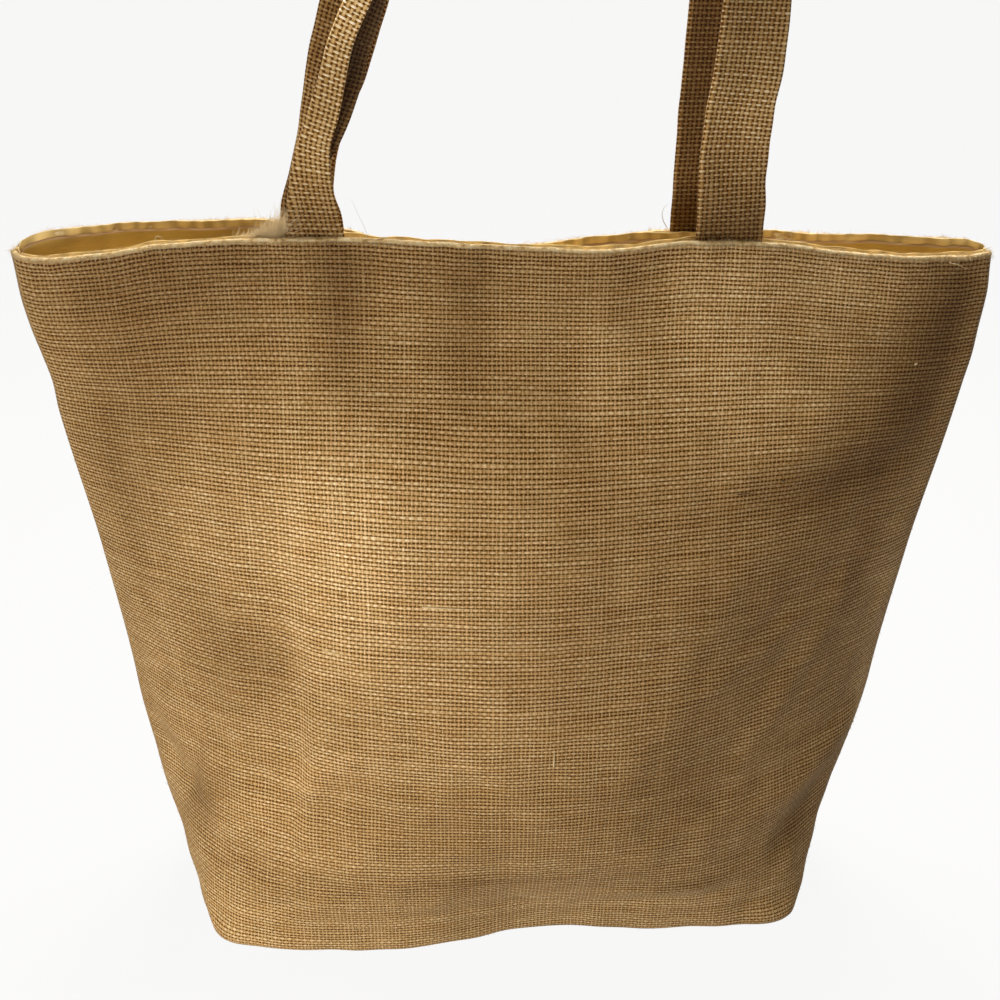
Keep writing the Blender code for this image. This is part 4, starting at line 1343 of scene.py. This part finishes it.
def strap_grid(rows, side, seed):
    """A flat oval section, y = (1 - |2x|^9)^(1/2.6), bent, folded and carried along the
    strap's line. Gives points, thread counts and brightness."""
    stops, middle_x, middle_z, slant, turn, curl, fold, crease, tone, face = (
        each if each.ndim > 1 else each[:, None] for each in strap_line(rows, side))
    angle = np.linspace(0, 2 * np.pi, STRAP_AROUND + 1)[None, :]
    place = 0.5 * np.cos(angle)
    out = np.sign(np.sin(angle)) * (1 - np.abs(2 * place) ** FLATNESS) ** (1 / EDGE_FULLNESS)
    girth = np.hypot(np.diff(place * STRAP_WIDTH), np.diff(out) * STRAP_THICKNESS / 2)
    front_facing = 0.5 - 0.5 * out
    hidden = ease((crease - place) / CREASE_BAND + 0.5) * ease(fold) * (1 - front_facing)
    uneven = 1 + waves(THICKER, stops, place * STRAP_WIDTH, seed)
    edge_wave = 1 + waves(WIDER, stops, 3 * place * STRAP_WIDTH, seed)
    out = out * STRAP_THICKNESS / 2 * uneven
    sideways, depth = folded_section(place, out, curl, fold, crease)
    sideways = sideways * edge_wave
    level_out = sideways * np.cos(turn) + depth * np.sin(turn)
    places = STRAP_WIDTH * np.linspace(-0.5, 0.5, face.shape[1])
    beside = np.array([np.interp(across, places, row) for across, row in zip(sideways, face)])
    steep = np.hypot(1, np.gradient(face, places, axis=1)).mean(axis=1, keepdims=True)
    y = -sideways * np.sin(turn) + depth * np.cos(turn) + beside - side * STRAP_INSET * steep
    grid = np.stack([middle_x + level_out * np.cos(slant), y,
                     middle_z - level_out * np.sin(slant)], axis=-1)
    grid[..., 1] += side * STRAP_LEAN * ease((middle_z - RIM_HEIGHT) / STRAP_RISE)
    around = np.concatenate([[0], np.cumsum(girth)])
    threads = np.stack(np.broadcast_arrays(around / STRAP_WARP_PITCH, stops / WEFT_PITCH), axis=-1)
    # Painted highlight along both edges of the strap.
    edge_highlight = 1 + EDGE_HIGHLIGHT * ease((np.abs(place) - EDGE_FROM) / EDGE_BAND)
    # Painted light and shade from the tone column on the front-facing side, and painted shade inside
    # the fold.
    brightness = edge_highlight * (1 + (tone - 1) * front_facing) * (1 - INNER_SHADE * hidden)
    return grid, threads, brightness


STRAPS = {FRONT: strap_grid(FRONT_STRAP, FRONT, 5), BACK: strap_grid(BACK_STRAP, BACK, 6)}
print("stations and places round a strap:", STRAPS[FRONT][0].shape[:2])


# %% The strap handles
def strap(name, side):
    """A closed strap: the carried section, with both sewn-in ends capped."""
    grid, threads, brightness = STRAPS[side]
    stations, around = grid.shape[0], grid.shape[1] - 1
    numbers = np.arange(stations * around).reshape(stations, around)
    cells = corners(np.concatenate([numbers, numbers[:, :1]], axis=1)).reshape(-1, 4)
    caps = np.stack([numbers[0][::-1], numbers[-1]])
    mesh = new_mesh(name, grid[:, :-1].reshape(-1, 3), cells, caps)
    set_threads(mesh, np.concatenate([corners(threads).reshape(-1, 2), np.zeros((2 * around, 2))]))
    set_tone(mesh, brightness[:, :-1])
    shape = bmesh.new()
    shape.from_mesh(mesh)
    bmesh.ops.recalc_face_normals(shape, faces=shape.faces)
    shape.to_mesh(mesh)
    shape.free()
    mesh.materials.append(strap_jute)
    return add(bpy.data.objects.new(name, mesh))


strap_jute = jute("Jute strap", 14.0, STRAP_WEAVE)
front_strap = strap("front_strap", FRONT)
back_strap = strap("back_strap", BACK)
print("strap faces:", len(front_strap.data.polygons))

# %% [markdown]
# ## Fibres
#
# Jute sheds. Short fibres stand off the whole face, most of all along the rim and the
# straps' edges, and they make the outline soft. Hair particles could draw them, but a
# mesh is kept as it is by every tool. So each fibre is a thin tapering tube of three
# sides on a bent path, and thousands of them are one mesh worked out in one go.

# %% Fibres
FIBRE_STEPS = 3
FIBRE_SIDES = 3
TIP_SHARE = 0.25
FIBRE_SCALE = ((0.0, (0.05, 0.02, 0.003)), (0.5, (0.46, 0.30, 0.12)), (1.0, (1.00, 0.83, 0.52)))
FIBRE_DARK, FIBRE_LIGHT = (0.8, 0.76, 0.68), (1.0, 1.0, 1.0)
FIBRE_LUMPS = 260.0
FIBRE_FINISH = {"Roughness": 0.6, "Sheen Weight": 0.2}

Fuzz = namedtuple("Fuzz", "count shortest longest radius low_lift high_lift bend darkest")
FACE_FUZZ = Fuzz(5500, 0.0007, 0.0030, 0.000055, 0.05, 0.65, 0.5, 0.35)
RIM_FUZZ = Fuzz(8000, 0.0006, 0.0026, 0.000070, 0.05, 1.20, 0.6, 0.65)
STRAP_FUZZ = Fuzz(4000, 0.0006, 0.0024, 0.000055, 0.05, 0.80, 0.5, 0.40)


def fibre_finish():
    """Pale jute, lighter or darker by each fibre's own tone."""
    recipe = Recipe("Jute fibre")
    colour = recipe.ramp(recipe.tone(), FIBRE_SCALE)
    shade = recipe.mix(recipe.patches(FIBRE_LUMPS, 2.0, 0.0, 1.0), FIBRE_DARK, FIBRE_LIGHT)
    recipe.finish(recipe.mix(1.0, colour, shade, "MULTIPLY"), FIBRE_FINISH)
    return recipe.material


def tubes(name, paths, radii, tones, sides=FIBRE_SIDES):
    """One mesh of tapering tubes, one for each path of an array of paths. The rings stand
    square to the path: along, a first square to it and upright, and a second to both."""
    count, steps = paths.shape[:2]
    along = unit(np.gradient(paths, axis=1))
    steep = np.abs(along.mean(axis=1, keepdims=True)[..., 1:2]) > 0.8
    helper = np.where(steep, (1.0, 0.0, 0.0), (0.0, 1.0, 0.0))
    first = unit(np.cross(along, helper))[:, :, None]
    second = np.cross(along[:, :, None], first)
    angle = 2 * np.pi * np.arange(sides)[:, None] / sides
    taper = 1 - (1 - TIP_SHARE) * np.linspace(0, 1, steps) ** 2
    width = radii[:, None, None, None] * taper[None, :, None, None]
    rings = paths[:, :, None] + width * (np.cos(angle) * first + np.sin(angle) * second)
    numbers = np.arange(count * steps * sides).reshape(count, steps, sides)
    beside = np.roll(numbers, -1, axis=2)
    walls = np.stack([numbers[:, :-1], beside[:, :-1], beside[:, 1:], numbers[:, 1:]], axis=-1)
    ends = np.concatenate([numbers[:, 0, ::-1], numbers[:, -1]])
    mesh = new_mesh(name, rings.reshape(-1, 3), walls.reshape(-1, 4), ends)
    set_tone(mesh, np.repeat(tones, steps * sides))
    mesh.materials.append(fibre_material)
    return add(bpy.data.objects.new(name, mesh))


def hairs(draw, roots, normals, fuzz):
    """Paths of short fibres. Each leaves the cloth in its own heading and at its own lift,
    and bends sideways with the square of the way along it."""
    count = len(roots)
    any_way = draw.normal(size=(count, 3))
    flat = unit(any_way - normals * np.sum(any_way * normals, axis=1, keepdims=True))
    lift = draw.uniform(fuzz.low_lift, fuzz.high_lift, count)[:, None]
    start = np.cos(lift) * flat + np.sin(lift) * normals
    aside = np.cross(start, normals) * draw.normal(0, fuzz.bend, count)[:, None]
    length = np.exp(draw.uniform(np.log(fuzz.shortest), np.log(fuzz.longest), count))
    t = np.linspace(0, 1, FIBRE_STEPS)[None, :, None]
    return roots[:, None] + length[:, None, None] * (t * start[:, None] + t * t * aside[:, None])


def fuzz_on(name, parts, fuzz, seed):
    """Fibres on stretches of grids: (grid, normals, first and last row, first and last column)."""
    draw = np.random.default_rng(seed)
    paths = []
    for grid, normals, rows, columns in parts:
        row = draw.uniform(*rows, fuzz.count // len(parts))
        place = draw.uniform(*columns, len(row))
        paths.append(hairs(draw, between(grid, row, place), unit(between(normals, row, place)), fuzz))
    paths = np.concatenate(paths)
    radii = fuzz.radius * draw.uniform(0.7, 1.3, len(paths))
    return tubes(name, paths, radii, draw.uniform(fuzz.darkest, 1.0, len(paths)))


fibre_material = fibre_finish()
FACE_NORMALS = {side: outward(PANELS[side][0], side) for side in (FRONT, BACK)}
ALL_COLUMNS = (0, PANEL_COLUMNS - 1)
RIM_ROWS = (BASE_ROWS + FACE_ROWS - 2.0, BASE_ROWS + FACE_ROWS + ROLL_ROWS - 2.0)
front_fuzz, back_fuzz = (
    fuzz_on(name, [(PANELS[side][0], FACE_NORMALS[side], (BASE_ROWS, RIM_ROWS[0]), ALL_COLUMNS)],
            FACE_FUZZ, 201 + side) for name, side in (("front_fuzz", FRONT), ("back_fuzz", BACK)))
rim_fuzz = fuzz_on("rim_fuzz", [(PANELS[side][0], FACE_NORMALS[side], RIM_ROWS, ALL_COLUMNS)
                                for side in (FRONT, BACK)], RIM_FUZZ, 207)
STRAP_ROWS = (22, STRAP_STATIONS - 23)
STRAP_NORMALS = {side: unit(np.cross(np.gradient(grid, axis=0), np.gradient(grid, axis=1)))
                 for side, (grid, _, _) in STRAPS.items()}
strap_fuzz = fuzz_on("strap_fuzz", [(STRAPS[side][0], STRAP_NORMALS[side], STRAP_ROWS,
                                     (0, STRAP_AROUND - 1)) for side in (FRONT, BACK)], STRAP_FUZZ, 211)
print("fibres:", FACE_FUZZ.count * 2 + RIM_FUZZ.count + STRAP_FUZZ.count)

# %% [markdown]
# ## Frayed ends, slubs and stray threads
#
# Left of the front handle the raw end of a strip frays out of the mouth as a blond tuft.
# A few single threads have worked loose at the rim. On the face, a slub is a fat stretch
# of thread and a fleck is a bit of bark spun in. These few are placed one by one.

# %% Where the loose threads lie
TUFT_FROM, TUFT_TO = -0.129, -0.103
TUFT_DEPTHS, TUFT_HEIGHTS = (-0.0088, -0.0064), (0.3690, 0.3725)
TUFT_COUNT = 1000
TUFT_STEPS = 7
TUFT_SHORTEST, TUFT_LONGER = 0.0080, 0.0080
TUFT_RADII, TUFT_TONES = (0.00009, 0.00017), (0.92, 1.0)
# The tuft's heading and its bend, each across, in depth and up: the mean at the tuft's
# left end, what is added to it at the right end, and the spread.
Spray = namedtuple("Spray", "mean added spread")
TUFT_HEADING = (Spray(0.80, -0.45, 0.22), Spray(0.05, 0.0, 0.15), Spray(0.42, 0.48, 0.12))
TUFT_BEND = (Spray(0.10, 0.0, 0.22), Spray(0.0, 0.0, 0.15), Spray(0.05, 0.0, 0.20))
Slub = namedtuple("Slub", "across height length turn radius tone")
SLUBS = (
    Slub(-0.032, 0.2175, 0.0200, 90, 0.00040, 0.88),
    Slub(-0.170, 0.2450, 0.0030, 90, 0.00045, 0.85),
    Slub(0.060, 0.2560, 0.0022, 90, 0.00042, 0.85),
    Slub(0.196, 0.3170, 0.0016, 60, 0.00060, 1.00),
    Slub(0.021, 0.1400, 0.0100, 0, 0.00035, 0.85),
    Slub(0.112, 0.2620, 0.0085, 90, 0.00030, 0.04),
    Slub(0.131, 0.2660, 0.0022, 90, 0.00035, 0.05),
    Slub(0.020, 0.0330, 0.0150, 90, 0.00030, 0.80),
    Slub(-0.085, 0.1900, 0.0120, 90, 0.00030, 0.78),
)
SLUB_LIFT = 0.00025
STRAY_RADIUS, HAIR_RADIUS = 0.00016, 0.00006
Stray = namedtuple("Stray", "radius tone points")
STRAY_THREADS = {
    "loop": Stray(STRAY_RADIUS, 0.85, (
        (-0.1600, -0.0085, 0.3705), (-0.1608, -0.0092, 0.3738), (-0.1592, -0.0092, 0.3750),
        (-0.1574, -0.0095, 0.3738), (-0.1580, -0.0092, 0.3715), (-0.1600, -0.0095, 0.3722))),
    "hair": Stray(HAIR_RADIUS, 0.35, (
        (-0.0643, -0.0125, 0.3740), (-0.0665, -0.0120, 0.3800), (-0.0690, -0.0115, 0.3855),
        (-0.0722, -0.0100, 0.3925))),
    "curl_left": Stray(STRAY_RADIUS, 0.80, (
        (0.0745, 0.0150, 0.3745), (0.0722, 0.0135, 0.3780), (0.0712, 0.0125, 0.3815),
        (0.0718, 0.0120, 0.3845), (0.0733, 0.0115, 0.3860))),
    "curl_right": Stray(STRAY_RADIUS, 0.95, (
        (0.1195, -0.0085, 0.3720), (0.1205, -0.0075, 0.3742), (0.1230, -0.0070, 0.3746),
        (0.1252, -0.0075, 0.3735), (0.1275, -0.0072, 0.3745), (0.1305, -0.0075, 0.3738))),
    "corner": Stray(STRAY_RADIUS, 0.70, (
        (0.2030, -0.0080, 0.3640), (0.2060, -0.0098, 0.3638), (0.2090, -0.0100, 0.3625),
        (0.2130, -0.0085, 0.3612))),
}
STRAY_STEPS = 28
THREAD_SIDES = 6
SEAM_COLUMN = 25.0
SEAM_RADIUS, SEAM_TONE = 0.0003, 0.72
SEAM_HEIGHTS = (0.397, 0.500)
SEAM_LIFT = 0.0006
print("slubs:", len(SLUBS), "stray threads:", len(STRAY_THREADS))


# %% Frayed ends, slubs and stray threads
def smooth_path(points, steps):
    """A smooth path through points placed by hand, read along their own distances."""
    points = np.array(points)
    run = np.concatenate([[0], np.cumsum(np.linalg.norm(np.diff(points, axis=0), axis=1))])
    where = np.linspace(0, run[-1], steps)
    return np.stack([smooth_read(run, axis, where) for axis in points.T], axis=-1)


def slub_path(slub):
    """A line on the front panel, a little proud of it."""
    way = np.radians(slub.turn)
    along = slub.length * np.linspace(-0.5, 0.5, STRAY_STEPS)
    share = (slub.across + along * np.sin(way)) / (PANEL_WIDTH / 2)
    level = slub.height + along * np.cos(way)
    row = BASE_ROWS + level / (RIM_HEIGHT - HEM_ROLL) * (FACE_ROWS - 1)
    turn = np.arcsin(share * np.sin(CROWDING)) / CROWDING
    place = (turn + 1) / 2 * (PANEL_COLUMNS - 1)
    arch = SLUB_LIFT * np.sin(np.linspace(0, np.pi, STRAY_STEPS))[:, None]
    return between(PANELS[FRONT][0], row, place) + arch * between(FACE_NORMALS[FRONT], row, place)


def strap_seam_path():
    """The pale thread along the inner side of the front handle's folded leg."""
    grid = STRAPS[FRONT][0]
    rising = grid[:STRAP_STATIONS // 3, :, 2].mean(axis=1)
    row = np.interp(np.linspace(*SEAM_HEIGHTS, STRAY_STEPS), rising, np.arange(len(rising)))
    place = np.full(STRAY_STEPS, SEAM_COLUMN)
    return between(grid, row, place) + SEAM_LIFT * between(STRAP_NORMALS[FRONT], row, place)


def tuft(name, seed):
    """Fibres that leave the rim as root + length * (t * heading + t^2 * bend)."""
    draw = np.random.default_rng(seed)
    share = draw.uniform(0, 1, TUFT_COUNT) ** 0.7
    root = np.stack([TUFT_FROM + (TUFT_TO - TUFT_FROM) * share, draw.uniform(*TUFT_DEPTHS, TUFT_COUNT),
                     draw.uniform(*TUFT_HEIGHTS, TUFT_COUNT)], axis=-1)
    heading, bend = (np.stack([draw.normal(spray.mean + spray.added * share, spray.spread)
                               for spray in sprays], axis=-1)[:, None]
                     for sprays in (TUFT_HEADING, TUFT_BEND))
    length = (TUFT_SHORTEST + TUFT_LONGER * share) * draw.uniform(0.6, 1.1, TUFT_COUNT)
    t = np.linspace(0, 1, TUFT_STEPS)[None, :, None]
    paths = root[:, None] + length[:, None, None] * (t * heading + t * t * bend)
    radii = draw.uniform(*TUFT_RADII, TUFT_COUNT)
    return tubes(name, paths, radii, draw.uniform(*TUFT_TONES, TUFT_COUNT))


frayed_tuft = tuft("frayed_tuft", 223)
slubs = tubes("slubs", np.stack([slub_path(slub) for slub in SLUBS]), column(SLUBS, "radius"),
              column(SLUBS, "tone"), THREAD_SIDES)
strays = list(STRAY_THREADS.values())
stray_paths = [smooth_path(stray.points, STRAY_STEPS) for stray in strays]
stray_threads = tubes("stray_threads", np.stack([*stray_paths, strap_seam_path()]),
                      np.append(column(strays, "radius"), SEAM_RADIUS),
                      np.append(column(strays, "tone"), SEAM_TONE), THREAD_SIDES)
print("faces of the tuft and the slubs:", len(frayed_tuft.data.polygons), len(slubs.data.polygons))

# %% [markdown]
# ## Hand the pieces over
#
# Each piece is tied to what it moves with, and the solid it stands for is hidden.


def triangles(piece):
    """How many triangles a piece has as it is rendered."""
    shown = piece.evaluated_get(bpy.context.evaluated_depsgraph_get()).to_mesh()
    shown.calc_loop_triangles()
    return len(shown.loop_triangles)


def hand_over(piece, finish, *solids):
    """Tie a piece to the frame."""
    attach(piece, "root")
    if solids:
        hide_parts(*solids)


hand_over(burlap_front, "jute_burlap", "burlap_body")
hand_over(burlap_back, "jute_burlap", "burlap_body")
hand_over(lining_cloth, "golden_cotton", "lining")
hand_over(front_strap, "jute_strap", "front_handle")
hand_over(back_strap, "jute_strap", "back_handle")
for piece in (front_fuzz, back_fuzz, rim_fuzz, slubs):
    hand_over(piece, "jute_burlap")
for piece in (strap_fuzz, frayed_tuft, stray_threads):
    hand_over(piece, "jute_strap")

counts = {piece.name: triangles(piece) for piece in (
    burlap_front, burlap_back, lining_cloth, front_strap, back_strap, front_fuzz, back_fuzz,
    rim_fuzz, strap_fuzz, frayed_tuft, slubs, stray_threads)}
print("triangles:", counts, "in all", sum(counts.values()))
